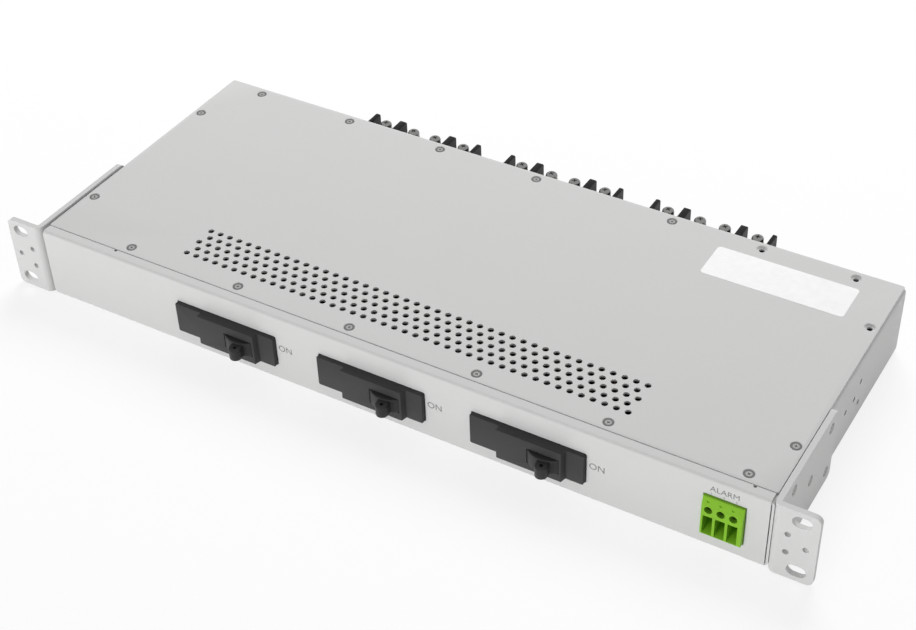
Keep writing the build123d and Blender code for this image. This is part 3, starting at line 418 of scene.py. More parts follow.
def carved(name, base, joined=(), cut=(), edge=None, segments=2):
    """Joins and cuts meshes, rounds the edges and shades them smooth."""
    piece = link_object(name, base)
    helpers = []
    for mesh, operation in [(m, "UNION") for m in joined] + [(m, "DIFFERENCE") for m in cut]:
        helper = link_object(name + "_helper", mesh)
        helpers.append(helper)
        modifier = piece.modifiers.new(operation.lower(), "BOOLEAN")
        modifier.operation = operation
        modifier.solver = "EXACT"
        modifier.object = helper
    if edge:
        bevel = piece.modifiers.new("round", "BEVEL")
        bevel.width = edge
        bevel.segments = segments
        bevel.limit_method = "ANGLE"
        bevel.angle_limit = EDGE_ANGLE
    mesh = baked(piece, name)
    for helper in helpers:
        bpy.data.objects.remove(helper)
    bm = bmesh.new()
    bm.from_mesh(mesh)
    bmesh.ops.remove_doubles(bm, verts=bm.verts, dist=MERGE_DISTANCE)
    for face in bm.faces:
        face.smooth = True
    for rim in bm.edges:
        rim.smooth = len(rim.link_faces) == 2 and rim.calc_face_angle(0.0) < SMOOTH_ANGLE
    bm.to_mesh(mesh)
    bm.free()
    return mesh


HEAD_SIDES = 28
RECESS_NARROW = 0.55
RECESS_WIDTH = 0.55 * MM
RECESS_DEPTH = 0.5 * MM
SHANK_RADIUS = 1.35 * MM
SHANK_DEPTH = 4.0 * MM
LIGHT_MIDDLE_RADIUS = 1.5 * MM


def cross_recess(length, width, depth):
    """A plus-shaped cutter that narrows downwards from the top of a head."""
    arm, half = length / 2, width / 2
    plus = [(arm, -half), (arm, half), (half, half), (half, arm), (-half, arm), (-half, half),
            (-arm, half), (-arm, -half), (-half, -half), (-half, -arm), (half, -arm), (half, -half)]
    mesh = prism(plus, -depth, depth)
    for vertex in mesh.vertices:
        if vertex.co.z < 0:
            vertex.co.x *= RECESS_NARROW
            vertex.co.y *= RECESS_NARROW
    return mesh


def moved(mesh, offset):
    """The mesh, shifted."""
    mesh.transform(Matrix.Translation(Vector(offset)))
    return mesh


def flat_head():
    """A countersunk head with its flat top at the origin, its middle marked by an attribute for a lighter
    colour.
    """
    radius = sizes().flat_head / 2
    profile = [(0, -SHANK_DEPTH), (SHANK_RADIUS, -SHANK_DEPTH), (SHANK_RADIUS, -1.4 * MM),
               (radius, -0.12 * MM), (radius - 0.2 * MM, -0.02 * MM), (LIGHT_MIDDLE_RADIUS + 0.35 * MM, -0.01 * MM),
               (LIGHT_MIDDLE_RADIUS, 0), (0, 0)]
    recess = cross_recess(sizes().recess, RECESS_WIDTH, RECESS_DEPTH)
    mesh = carved("flat_head", lathe(profile, HEAD_SIDES), cut=[recess])
    light_middle = mesh.attributes.new("light_middle", "FLOAT", "POINT")
    for vertex, value in zip(mesh.vertices, light_middle.data):
        middle = vertex.co.to_2d().length < LIGHT_MIDDLE_RADIUS + 0.1 * MM and vertex.co.z > -RECESS_DEPTH
        value.value = 1.0 if middle else 0.0
    return mesh


def pan_head(radius, height):
    """A domed head standing on the origin."""
    profile = [(0, -1.0 * MM), (radius * 0.55, -1.0 * MM), (radius * 0.55, 0), (radius, 0),
               (radius, height * 0.45), (radius * 0.93, height * 0.72), (radius * 0.78, height * 0.9),
               (radius * 0.5, height * 0.98), (0, height)]
    cutter = moved(cross_recess(radius * 1.15, 0.95 * MM, 1.3 * MM), (0, 0, height))
    return carved("pan_head", lathe(profile, HEAD_SIDES), cut=[cutter])


# Geometry node trees

SINK_DEPTH = 1.55 * MM
SINK_CUTTER = 1.6 * MM


def tree_with(name, inputs):
    """A geometry node tree with named inputs and one geometry output, and its input sockets."""
    tree = bpy.data.node_groups.new(name, "GeometryNodeTree")
    named_sockets(tree, [
        ("Geometry", "NodeSocketGeometry", None), *inputs, ("Material", "NodeSocketMaterial", None)],
        [("Geometry", "NodeSocketGeometry")])
    return tree, new_node(tree, "NodeGroupInput").outputs


def end_tree(tree, inside, geometry):
    """Ends a geometry tree: makes the instances real and puts the material on."""
    real = new_node(tree, "GeometryNodeRealizeInstances", {"Geometry": geometry})
    paint = new_node(tree, "GeometryNodeSetMaterial", {
        "Geometry": real.outputs["Geometry"], "Material": inside["Material"]})
    new_node(tree, "NodeGroupOutput", {"Geometry": paint.outputs["Geometry"]})
    return tree


def run_tree(name, mesh, tree, values):
    """Evaluates a tree on a mesh and returns the result as a plain mesh."""
    carrier = link_object(name, mesh)
    modifier = carrier.modifiers.new(name, "NODES")
    modifier.node_group = tree
    identifiers = {item.name: item.identifier for item in tree.interface.items_tree
                   if item.item_type == "SOCKET" and item.in_out == "INPUT"}
    for label, value in values.items():
        modifier[identifiers[label]] = value
    return baked(carrier, name)


def dots(points):
    """A mesh that holds only points."""
    mesh = bpy.data.meshes.new("dots")
    mesh.from_pydata([tuple(p) for p in points], [], [])
    return mesh


def screw_tree():
    """Stands a head on each point, turned to face one way and spun by a seeded amount."""
    name = "screws on points"
    if name in bpy.data.node_groups:
        return bpy.data.node_groups[name]
    tree, inside = tree_with(name, [
        ("Head", "NodeSocketObject", None), ("Facing", "NodeSocketVector", (0, 0, 1)),
        ("Seed", "NodeSocketInt", 1)])
    head = new_node(tree, "GeometryNodeObjectInfo", {"Object": inside["Head"]})
    turn = new_node(tree, "FunctionNodeRandomValue", {"Seed": inside["Seed"]}, data_type="FLOAT")
    low, high = [socket for socket in turn.inputs if socket.type == "VALUE" and socket.name in ("Min", "Max")]
    low.default_value = 0.0
    high.default_value = pi
    spin = new_node(tree, "FunctionNodeAxisAngleToRotation", {
        "Axis": (0, 0, 1), "Angle": next(socket for socket in turn.outputs if socket.type == "VALUE")})
    aim = new_node(tree, "FunctionNodeAlignRotationToVector", {"Vector": inside["Facing"]}, axis="Z")
    both = new_node(tree, "FunctionNodeRotateRotation", {
        "Rotation": aim.outputs["Rotation"], "Rotate By": spin.outputs["Rotation"]}, rotation_space="LOCAL")
    stand = new_node(tree, "GeometryNodeInstanceOnPoints", {
        "Points": inside["Geometry"], "Instance": head.outputs["Geometry"],
        "Rotation": both.outputs["Rotation"]})
    return end_tree(tree, inside, stand.outputs["Instances"])


def stand_screws(name, head_mesh, points, facing, seed, material):
    """One mesh of like screws, from one head and the points they stand on."""
    head = link_object(name + "_head", head_mesh)
    mesh = run_tree(name, dots(points), screw_tree(), {
        "Head": head, "Facing": facing, "Seed": seed, "Material": material})
    bpy.data.objects.remove(head)
    return mesh


def perforated_tree():
    """Cuts a staggered field of round holes and a countersunk hole at each point into a plate."""
    tree, inside = tree_with("perforated plate", [
        ("Plate", "NodeSocketObject", None), ("Hole Radius", "NodeSocketFloat", 0.0017),
        ("Pitch", "NodeSocketFloat", 0.00635), ("Row", "NodeSocketFloat", 0.0055),
        ("Columns", "NodeSocketInt", 43), ("First Row", "NodeSocketVector", (0, 0, 0)),
        ("Countersink Radius", "NodeSocketFloat", 0.0032), ("Depth", "NodeSocketFloat", 0.003)])
    drill = new_node(tree, "GeometryNodeMeshCylinder", {
        "Vertices": 20, "Radius": inside["Hole Radius"], "Depth": inside["Depth"]})
    sink = new_node(tree, "GeometryNodeMeshCone", {
        "Vertices": HEAD_SIDES, "Depth": SINK_CUTTER, "Radius Top": inside["Countersink Radius"],
        "Radius Bottom": math_node(tree, "SUBTRACT", inside["Countersink Radius"], SINK_DEPTH)})
    cutters = new_node(tree, "GeometryNodeJoinGeometry")
    middle = new_node(tree, "ShaderNodeCombineXYZ", {"Y": math_node(tree, "MULTIPLY", 2, inside["Row"])})
    shift = new_node(tree, "ShaderNodeVectorMath", {0: middle.outputs[0], 1: inside["First Row"]})
    for rows, shorter in ((3, 0), (2, 1)):
        columns = math_node(tree, "SUBTRACT", inside["Columns"], shorter)
        spaces = math_node(tree, "SUBTRACT", columns, 1)
        field = new_node(tree, "GeometryNodeMeshGrid", {
            "Vertices X": columns, "Vertices Y": rows,
            "Size X": math_node(tree, "MULTIPLY", spaces, inside["Pitch"]),
            "Size Y": math_node(tree, "MULTIPLY", 2 * (rows - 1), inside["Row"])})
        place = new_node(tree, "GeometryNodeSetPosition", {
            "Geometry": field.outputs["Mesh"], "Offset": shift.outputs[0]})
        stand = new_node(tree, "GeometryNodeInstanceOnPoints", {
            "Points": place.outputs["Geometry"], "Instance": drill.outputs["Mesh"]})
        tree.links.new(stand.outputs["Instances"], cutters.inputs["Geometry"])
    sunk = new_node(tree, "GeometryNodeInstanceOnPoints", {
        "Points": inside["Geometry"], "Instance": sink.outputs["Mesh"]})
    tree.links.new(sunk.outputs["Instances"], cutters.inputs["Geometry"])
    solid = new_node(tree, "GeometryNodeRealizeInstances", {"Geometry": cutters.outputs["Geometry"]})
    plate = new_node(tree, "GeometryNodeObjectInfo", {"Object": inside["Plate"]})
    cut = new_node(tree, "GeometryNodeMeshBoolean", {
        "Mesh 1": plate.outputs["Geometry"], "Mesh 2": solid.outputs["Geometry"]},
        operation="DIFFERENCE", solver="EXACT")
    return end_tree(tree, inside, cut.outputs["Mesh"])


# Places of the screws, on the cover and on the ears

FRONT_ROW = (0.0, 0.197, 0.391, 0.599, 0.8, 1.0)
REAR_ROW = (0.0, 0.168, 0.333, 0.5, 0.722, 0.861, 1.0)
FRONT_INSET = 5.3 * MM
REAR_INSET = 5.4 * MM
SIDE_INSET = 4.7 * MM
FRONT_LEFT = 53.8 * MM
FRONT_RIGHT = 16.8 * MM
REAR_MARGIN = 25.0 * MM
SIDE_FRONT = 32.9 * MM
SIDE_REAR = 40.2 * MM
REAR_FILLED = 5
LEG_FIRST = 19.5 * MM
LEG_RUN = 47.5 * MM
LEG_RISE = 29.0 * MM


def cover_places():
    """Filled and open screw places on the cover, as (x, y)."""
    low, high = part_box("top_cover")
    left, right = low.x + FRONT_LEFT, high.x - FRONT_RIGHT
    front = [(left + (right - left) * share, low.y + FRONT_INSET) for share in FRONT_ROW]
    left, right = low.x + REAR_MARGIN, high.x - REAR_MARGIN
    rear = [(left + (right - left) * share, high.y - REAR_INSET) for share in REAR_ROW]
    sides = [(low.x + SIDE_INSET, low.y + SIDE_FRONT), (low.x + SIDE_INSET, high.y - SIDE_REAR),
             (high.x - SIDE_INSET, low.y + SIDE_FRONT)]
    spare = rear[REAR_FILLED:] + [(high.x - SIDE_INSET, high.y - SIDE_REAR)]
    return front + rear[:REAR_FILLED] + sides, spare


def leg_places():
    """The five screw places on an ear's leg, as (y, z)."""
    last = LEG_FIRST + LEG_RUN
    corners = [(y, z) for y in (LEG_FIRST, last) for z in (-LEG_RISE / 2, LEG_RISE / 2)]
    return corners + [((LEG_FIRST + last) / 2, 0)]


# Sizes of the pieces

OVERRUN = 1 * MM
COVER_CORNER = 1.2 * MM
COVER_ROUND = 0.15 * MM
DRILL_DEPTH = 4 * MM
HEAD_SUNK = 0.2 * MM

# Breaker cases
CASE_CORNER = 0.9 * MM
BOSS_PROUD = 3.4 * MM
BOSS_SHIFT = 3.7 * MM
BOSS_HALF = 18.7 * MM
BOSS_SLOPE = 1.0 * MM
BOSS_SUNK = 0.5 * MM
POCKET_HEIGHT = 9.4 * MM
POCKET_WALL = 0.4 * MM

# Toggles
HUB_RADIUS = 12.4 * MM
HUB_ROUND = 0.6 * MM
HUB_GAP = 0.3 * MM
PIN_BORE = 1.55 * MM
LEVER_LEAN = radians(9.0)
LEVER_EYE = 14.85 * MM
LEVER_HALF = 3.35 * MM
LEVER_RISE = 3.4 * MM
LEVER_ROUND = 0.5 * MM
EYE_RADIUS = 1.0 * MM

# Terminal blocks
PLATFORM = 0.6 * MM
PLATFORM_THICK = 2.0 * MM
FLANGE_DEPTH = 3.0 * MM
FLANGE_TOP = 16.5 * MM
NECK_INSET = 1.2 * MM
NECK_LEVELS = (5.0 * MM, 15.0 * MM)
FIN_ROUND = 2.0 * MM
FIN_EDGE = 0.35 * MM
END_FIN = 2.3 * MM
MIDDLE_FIN_HALF = 2.0 * MM
MIDDLE_FIN_PLACE = 16.3 * MM
POST_PLACES = (6.5 * MM, 26.1 * MM)
POST_TOP = 10.6 * MM
POST_HALF = 3.7 * MM
POST_SUNK = 0.5 * MM
POST_HOLE = 2.2 * MM
POST_HOLE_LEVELS = (-1 * MM, 12 * MM)
BAR_HALF = 3.8 * MM
BAR_THICK = 1.8 * MM
BAR_REACH = 3.5 * MM
TERMINAL_SETBACK = 10.0 * MM
TERMINAL_PLACES = (-27.1 * MM, -7.5 * MM, 7.5 * MM, 27.1 * MM)
TERMINAL_HEAD = (3.45 * MM, 2.8 * MM)
PAIR_GAP = 1.0 * MM
FLANGE_SCREW_INSET = 6 * MM
FLANGE_HEAD = (2.8 * MM, 2.0 * MM)

# Alarm plug
POLE_PITCH_MM = 6.35
POLE_OFFSET_MM = 0.6
PLUG_ROUND = 0.3 * MM
BROW_DROP = 6.0 * MM
BROW_DEPTH = 1.2 * MM
ENTRY_HALF = 2.5 * MM
ENTRY_LEVELS = (0.5 * MM, 12.3 * MM)
ENTRY_STEP = 2.2 * MM
ENTRY_MOUTH = 5 * MM
ENTRY_DEPTH = 13 * MM
CLAMP_LEVEL = 16.4 * MM
CLAMP_RADIUS = 2.1 * MM
CLAMP_DEPTH = 9 * MM
PIN_SLOT_HALF = 0.8 * MM
PIN_SLOT_LEVELS = (7.2 * MM, 8.8 * MM)
PIN_SLOT_DEPTH = 7 * MM
DIMPLE_RADIUS = 0.7 * MM
DIMPLE_DROP = 2.6 * MM
DIMPLE_SHIFT = 0.6 * MM

# Printing and label
INK_PROUD = 0.03 * MM
INK_HALF = 0.02 * MM
CAPITAL_SHARE = 0.72
ON_PLACE = (1.6 * MM, 1.2 * MM)
DIGIT_PLACE = (-0.5 * MM, 0.9 * MM)
DIGIT_HEIGHT = 1.4 * MM
ALARM_PLACE = (2.7 * MM, 3.1 * MM)
ALARM_HEIGHT = 3.4 * MM
LABEL_LOW = (117.3 * MM, 140.8 * MM)
LABEL_HIGH = (197.6 * MM, 166.4 * MM)
LABEL_CORNER = 2.0 * MM
LABEL_LEVELS = (0.01 * MM, 0.12 * MM)


# Pieces

def paint_node(name, material):
    """Puts a material on a node of the frame."""
    mesh = frame["nodes"][name].data
    mesh.materials.clear()
    mesh.materials.append(material)


class PANEL_OT_sheet_metal(bpy.types.Operator):
    """Gives the chassis and the ears their powder coat"""

    bl_idname = "panel.sheet_metal"
    bl_label = "Chassis and ears"

    def execute(self, context):
        for node in ("base_chassis", "left_ear", "right_ear"):
            paint_node(node, powder_coat())
        return {"FINISHED"}


class PANEL_OT_cover(bpy.types.Operator):
    """Makes the cover with its vent holes and countersunk screw holes"""

    bl_idname = "panel.cover"
    bl_label = "Perforated cover"

    def execute(self, context):
        size = sizes()
        low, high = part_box("top_cover")
        blank = prism(rounded_rectangle(low, high, COVER_CORNER, 5), low.z, high.z)
        plate = link_object("cover_blank", carved("cover_blank", blank, edge=COVER_ROUND))
        filled, spare = cover_places()
        points = [(x, y, high.z - SINK_DEPTH) for x, y in filled + spare]
        mesh = run_tree("perforated_cover", dots(points), perforated_tree(), {
            "Plate": plate, "Hole Radius": size.vent_hole / 2, "Pitch": size.vent_pitch,
            "Row": size.vent_row, "Columns": size.vent_columns,
            "First Row": (size.vent_middle, low.y + size.vent_front, (low.z + high.z) / 2),
            "Countersink Radius": size.countersink / 2, "Depth": DRILL_DEPTH, "Material": powder_coat()})
        bpy.data.objects.remove(plate)
        add_piece("perforated_cover", mesh, "panel", powder_coat(), ("top_cover",))
        return {"FINISHED"}


class PANEL_OT_flat_screws(bpy.types.Operator):
    """Puts countersunk screws in the cover and in the legs of the ears"""

    bl_idname = "panel.flat_screws"
    bl_label = "Countersunk screws"

    def execute(self, context):
        steel = worn_steel()
        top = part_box("top_cover")[1].z - HEAD_SUNK
        points = [(x, y, top) for x, y in cover_places()[0]]
        mesh = stand_screws("cover_screw_set", flat_head(), points, (0, 0, 1), 3, steel)
        add_piece("cover_screw_set", mesh, "panel", steel, ("cover_screws",))
        for side, word in ((-1, "left"), (1, "right")):
            low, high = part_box(word + "_ear_screws")
            x = low.x if side < 0 else high.x
            points = [(x, y, z) for y, z in leg_places()]
            mesh = stand_screws(word + "_ear_screw_set", flat_head(), points, (side, 0, 0), 5 + side, steel)
            add_piece(word + "_ear_screw_set", mesh, "panel", steel, (word + "_ear_screws",))
        return {"FINISHED"}


class PANEL_OT_breaker_cases(bpy.types.Operator):
    """Makes the moulded cases with their raised bosses and round pockets"""

    bl_idname = "panel.breaker_cases"
    bl_label = "Breaker cases"

    def execute(self, context):
        black = moulded("case_moulding", colours().case, 0.5, specular=0.12)
        for number in BREAKER_NUMBERS:
            name = f"breaker_{number}"
            low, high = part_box(name)
            centre = (low.x + high.x) / 2
            level = (low.z + high.z) / 2
            plate = low.y + BOSS_PROUD
            boss_low, boss_high = centre + BOSS_SHIFT - BOSS_HALF, centre + BOSS_SHIFT + BOSS_HALF
            pivot = hinge_place(f"toggle_{number}_turn")
            body = carved("case", block((low.x, plate, low.z), high))
            boss = prism([(boss_low, low.y), (boss_high - BOSS_SLOPE, low.y), (boss_high, plate + BOSS_SUNK),
                          (boss_low, plate + BOSS_SUNK)], low.z, high.z)
            solid = carved("case_solid", rounded_ends(body, CASE_CORNER), [boss], edge=sizes().edge_round)
            half = POCKET_HEIGHT / 2
            wall = boss_high - POCKET_WALL
            ring = [(min(x, wall) if y < plate else x, y)
                    for x, y in circle(pivot[:2], HUB_RADIUS + HUB_GAP, 64)]
            pocket = prism(ring, level - half, level + half)
            bore = prism(circle(pivot[:2], PIN_BORE, 20), level - 2 * half, level + 2 * half)
            mesh = carved(f"case_{number}", solid, cut=[pocket, bore])
            add_piece(f"case_{number}", mesh, "panel", black, (name,))
        return {"FINISHED"}


def rounded_ends(mesh, radius):
    """Rounds the edges that run from front to rear."""
    bm = bmesh.new()
    bm.from_mesh(mesh)
    along = [e for e in bm.edges
             if abs(e.verts[0].co.x - e.verts[1].co.x) + abs(e.verts[0].co.z - e.verts[1].co.z) < 1e-6]
    bmesh.ops.bevel(bm, geom=along, offset=radius, segments=5, profile=0.5, affect="EDGES")
    bm.to_mesh(mesh)
    bm.free()
    return mesh


def hinge_place(name):
    """The place of a hinge of the frame."""
    return Vector(next(joint["pos_m"] for joint in frame["joints"] if joint["name"] == name))


class PANEL_OT_toggles(bpy.types.Operator):
    """Makes the toggles: a round hub, a leaning lever and its eye"""

    bl_idname = "panel.toggles"
    bl_label = "Toggles"

    def execute(self, context):
        # Painted shade: the toggle takes the case's black made darker, for its shadowed place in the pocket.
        black = moulded("toggle_moulding_shaded", colours().toggle, 0.42, specular=0.2)
        for number in BREAKER_NUMBERS:
            name = f"toggle_{number}"
            low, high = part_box(name)
            pivot = hinge_place(f"toggle_{number}_turn")
            aim = Vector((sin(LEVER_LEAN), -cos(LEVER_LEAN), 0))
            across = Vector((cos(LEVER_LEAN), sin(LEVER_LEAN), 0))
            half = (high.z - low.z) / 2
            profile = [(0, -half)]
            for i in range(6):
                angle = radians(-90 + 18 * i)
                profile.append((HUB_RADIUS - HUB_ROUND + HUB_ROUND * cos(angle),
                                HUB_ROUND - half + HUB_ROUND * sin(angle)))
            profile += [(radius, -height) for radius, height in reversed(profile)]
            hub = moved(lathe(profile, 96), pivot)
            eye = pivot + aim * LEVER_EYE
            outline = [(pivot + across * side * LEVER_HALF)[:2] for side in (-1, 1)]
            outline += circle(eye[:2], LEVER_HALF, 21, LEVER_LEAN, LEVER_LEAN - pi)
            lever = carved("lever", prism(outline, pivot.z - LEVER_RISE, pivot.z + LEVER_RISE),
                           edge=LEVER_ROUND, segments=3)
            cutters = [prism(circle(place[:2], radius, 20), pivot.z - 2 * reach, pivot.z + 2 * reach)
                       for place, radius, reach in ((eye, EYE_RADIUS, LEVER_RISE), (pivot, PIN_BORE, half))]
            mesh = carved(f"toggle_lever_{number}", hub, [lever], cutters)
            add_piece(f"toggle_lever_{number}", mesh, name, black, (name,))
        return {"FINISHED"}


class PANEL_OT_terminal_blocks(bpy.types.Operator):
    """Makes the rear terminal blocks with their sloping fins"""

    bl_idname = "panel.terminal_blocks"
    bl_label = "Terminal blocks"

    def execute(self, context):
        black = moulded("block_moulding", colours().block, 0.5, specular=0.15)
        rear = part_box("base_chassis")[1].y
        for number in BREAKER_NUMBERS:
            for side, word in ((-1, "left"), (1, "right")):
                name = f"terminal_block_{word}_{number}"
                low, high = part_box(name)
                mesh = barrier_block(low, high, side, rear)
                add_piece(f"barrier_block_{word}_{number}", mesh, "panel", black, (name,))
        return {"FINISHED"}


def barrier_block(low, high, side, rear):
    """One block: flange, neck, base plate, round-ended posts and two fins."""
    inner = high.x if side < 0 else low.x
    outer = low.x if side < 0 else high.x
    tip, terminal = high.y, rear + TERMINAL_SETBACK
    base = block((low.x, rear, PLATFORM), (high.x, tip, PLATFORM + PLATFORM_THICK))
    flange = block((low.x, rear, low.z), (high.x, rear + FLANGE_DEPTH, FLANGE_TOP))
    neck = block((low.x + NECK_INSET, low.y, NECK_LEVELS[0]),
                 (high.x - NECK_INSET, rear + OVERRUN, NECK_LEVELS[1]))
    joined = [flange, neck]
    poles = [inner + side * place for place in POST_PLACES]
    for x in poles:
        outline = [(x - POST_HALF, rear + OVERRUN), (x + POST_HALF, rear + OVERRUN)]
        outline += circle((x, terminal), POST_HALF, 21, 0, pi)
        joined.append(prism(outline, PLATFORM + POST_SUNK, POST_TOP))
    corner = (tip - FIN_ROUND, high.z - FIN_ROUND)
    fin = [(rear, PLATFORM), (tip, PLATFORM)] + circle(corner, FIN_ROUND, 8, 0, pi / 2) + [(rear, high.z)]
    middle = inner + side * MIDDLE_FIN_PLACE
    for start, end in ((outer, outer - side * END_FIN), (middle - MIDDLE_FIN_HALF, middle + MIDDLE_FIN_HALF)):
        joined.append(carved("fin", prism(fin, min(start, end), max(start, end), "X"), edge=FIN_EDGE))
    cut = [block((x - BAR_HALF, low.y - OVERRUN, POST_TOP),
                 (x + BAR_HALF, rear + BAR_REACH, POST_TOP + BAR_THICK)) for x in poles]
    cut += [prism(circle((x, terminal), POST_HOLE, 20), *POST_HOLE_LEVELS) for x in poles]
    return carved("barrier_block", base, joined, cut)


class PANEL_OT_terminal_screws(bpy.types.Operator):
    """Puts pan-head screws on the terminals and on the block flanges"""

    bl_idname = "panel.terminal_screws"
    bl_label = "Terminal screws"

    def execute(self, context):
        steel = terminal_steel()
        washers_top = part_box("terminal_washers")[1].z
        low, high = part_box("terminal_screws")
        y = (low.y + high.y) / 2
        points = []
        for number in BREAKER_NUMBERS:
            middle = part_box(f"terminal_block_right_{number}")[0].x - PAIR_GAP
            points += [(middle + x, y, washers_top) for x in TERMINAL_PLACES]
        mesh = stand_screws("terminal_screw_set", pan_head(*TERMINAL_HEAD), points, (0, 0, 1), 11, steel)
        add_piece("terminal_screw_set", mesh, "panel", steel, ("terminal_screws",))
        low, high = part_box("block_screws")
        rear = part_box("base_chassis")[1].y
        points = []
        for number in BREAKER_NUMBERS:
            for word in ("left", "right"):
                start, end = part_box(f"terminal_block_{word}_{number}")
                points += [(x, rear + FLANGE_DEPTH, (low.z + high.z) / 2)
                           for x in (start.x + FLANGE_SCREW_INSET, end.x - FLANGE_SCREW_INSET)]
        mesh = stand_screws("block_screw_set", pan_head(*FLANGE_HEAD), points, (0, 1, 0), 12, steel)
        add_piece("block_screw_set", mesh, "panel", steel, ("block_screws",))
        return {"FINISHED"}


class PANEL_OT_alarm_plug(bpy.types.Operator):
    """Makes the green plug with its wire entries, clamp holes, pin slots and dimples"""

    bl_idname = "panel.alarm_plug"
    bl_label = "Alarm plug"

    def execute(self, context):
        green = moulded("plug_moulding", colours().plug, 0.42, specular=0.3)
        low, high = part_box("alarm_plug")
        face = low.y
        outline = [(face, low.z), (face, high.z - BROW_DROP), (face + BROW_DEPTH, high.z), (high.y, high.z),
                   (high.y, low.z)]
        body = carved("plug_blank", prism(outline, low.x, high.x, "X"), edge=PLUG_ROUND)
        bottom, top = [low.z + level for level in ENTRY_LEVELS]
        step, inner = bottom + ENTRY_STEP, face + ENTRY_DEPTH
        funnel = [(face - OVERRUN, bottom), (face - OVERRUN, top), (inner, top), (inner, step),
                  (face + ENTRY_MOUTH, step), (face, bottom)]
        slot_low, slot_high = [low.z + level for level in PIN_SLOT_LEVELS]
        cut = []
        for x in plug_poles(low, high):
            cut.append(prism(funnel, x - ENTRY_HALF, x + ENTRY_HALF, "X"))
            hole = circle((x, low.z + CLAMP_LEVEL), CLAMP_RADIUS, 28)
            cut.append(prism(hole, face - OVERRUN, face + CLAMP_DEPTH, "Y"))
            cut.append(block((x - PIN_SLOT_HALF, high.y - PIN_SLOT_DEPTH, slot_low),
                             (x + PIN_SLOT_HALF, high.y + OVERRUN, slot_high)))
            dimple = circle((x - DIMPLE_SHIFT, high.z - DIMPLE_DROP), DIMPLE_RADIUS, 16)
            cut.append(prism(dimple, face, face + OVERRUN, "Y"))
        mesh = carved("plug_body", body, cut=cut)
        add_piece("plug_body", mesh, "plug", green, ("alarm_plug",))
        paint_node("plug_screws", terminal_steel())
        return {"FINISHED"}


def plug_poles(low, high):
    """The x of the three poles, which lie a little left of the plug's middle."""
    return [(low.x + high.x) / 2 + (i * POLE_PITCH_MM - POLE_OFFSET_MM) * MM for i in (-1, 0, 1)]


class PANEL_OT_inner_parts(bpy.types.Operator):
    """Gives the bars, brackets, board and small parts their finishes"""

    bl_idname = "panel.inner_parts"
    bl_label = "Inner parts"

    def execute(self, context):
        steel, copper = plated_steel(), bare_copper()
        header = moulded("header_moulding", (0.1, 0.24, 0.02), 0.45)
        board = moulded("board_mask", (0.02, 0.11, 0.04), 0.3, 0.00001, 0.003)
        for node in frame["nodes"]:
            if node.startswith(("line_bar", "load_bar", "return_link")):
                paint_node(node, copper)
            elif node == "alarm_header":
                paint_node(node, header)
            elif node == "alarm_board":
                paint_node(node, board)
            elif node.startswith(("toggle_pin", "breaker_bracket", "breaker_studs", "bracket_screws",
                                  "board_", "stud_", "header_", "terminal_washers")):
                paint_node(node, steel)
        return {"FINISHED"}


class PANEL_OT_markings(bpy.types.Operator):
    """Prints the words and pole numbers on the front, and lays the bare label on the cover"""

    bl_idname = "panel.markings"
    bl_label = "Markings"

    def execute(self, context):
        ink = moulded("grey_ink", colours().ink, 0.5)
        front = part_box("base_chassis")[0].y - INK_PROUD
        words = []
        for number in BREAKER_NUMBERS:
            low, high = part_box(f"breaker_{number}")
            words.append(("ON", high.x + ON_PLACE[0], (low.z + high.z) / 2 + ON_PLACE[1],
                          sizes().letter_height))
        low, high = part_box("alarm_plug")
        for i, x in enumerate(plug_poles(low, high), start=1):
            words.append((str(i), x + DIGIT_PLACE[0], high.z + DIGIT_PLACE[1], DIGIT_HEIGHT))
        words.append(("ALARM", low.x + ALARM_PLACE[0], high.z + ALARM_PLACE[1], ALARM_HEIGHT))
        bm = bmesh.new()
        for text, x, z, height in words:
            mesh = word_mesh(text, height)
            mesh.transform(Matrix.Translation((x, front, z)) @ Matrix.Rotation(radians(90), 4, "X"))
            bm.from_mesh(mesh)
        printing = bpy.data.meshes.new("printing")
        bm.to_mesh(printing)
        bm.free()
        add_piece("front_printing", printing, "panel", ink)
        add_label()
        return {"FINISHED"}


def word_mesh(text, height):
    """A word as a thin mesh lying in the XY plane."""
    curve = bpy.data.curves.new("word", "FONT")
    curve.body = text
    curve.size = height / CAPITAL_SHARE
    curve.extrude = INK_HALF
    return baked(link_object("word", curve), "word")


def add_label():
    """Lays the bare pale label on the cover."""
    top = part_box("top_cover")[1].z
    paper = moulded("label_film", (0.95, 0.95, 0.95), 0.35, 0.000005, 0.004)
    under, over = [top + level for level in LABEL_LEVELS]
    sheet = prism(rounded_rectangle(LABEL_LOW, LABEL_HIGH, LABEL_CORNER, 6), under, over)
    add_piece("cover_label", sheet, "panel", paper)


# Camera, lamps and floor

CAMERA_PLACE = (0.3853, -0.5308, 0.5810)
CAMERA_LOOK = (-0.3917, 0.6609, -0.6401)
CAMERA_UP = (-0.3062, 0.5624, 0.7681)
CAMERA_LENS = 67.13
CAMERA_SHIFT = (-0.0349, 0.0138)
LAMPS = (
    ("front lamp", (-1.2, -4.3, 0.12), 1.0, 106.0), ("under lamp", (-0.4, -1.3, -1.8), 1.0, 10.0),
    ("rear lamp", (-0.5, 1.7, 1.9), 1.4, 53.0), ("side lamp", (2.2, 0.9, 0.6), 1.0, 3.0))
WORLD_LIGHT = 0.35
FLOOR_REACH = 4
FLOOR_GREY = (0.85, 0.85, 0.85, 1)
FLOOR_WHITE = 1.04
FLOOR_SHADOW = 0.22


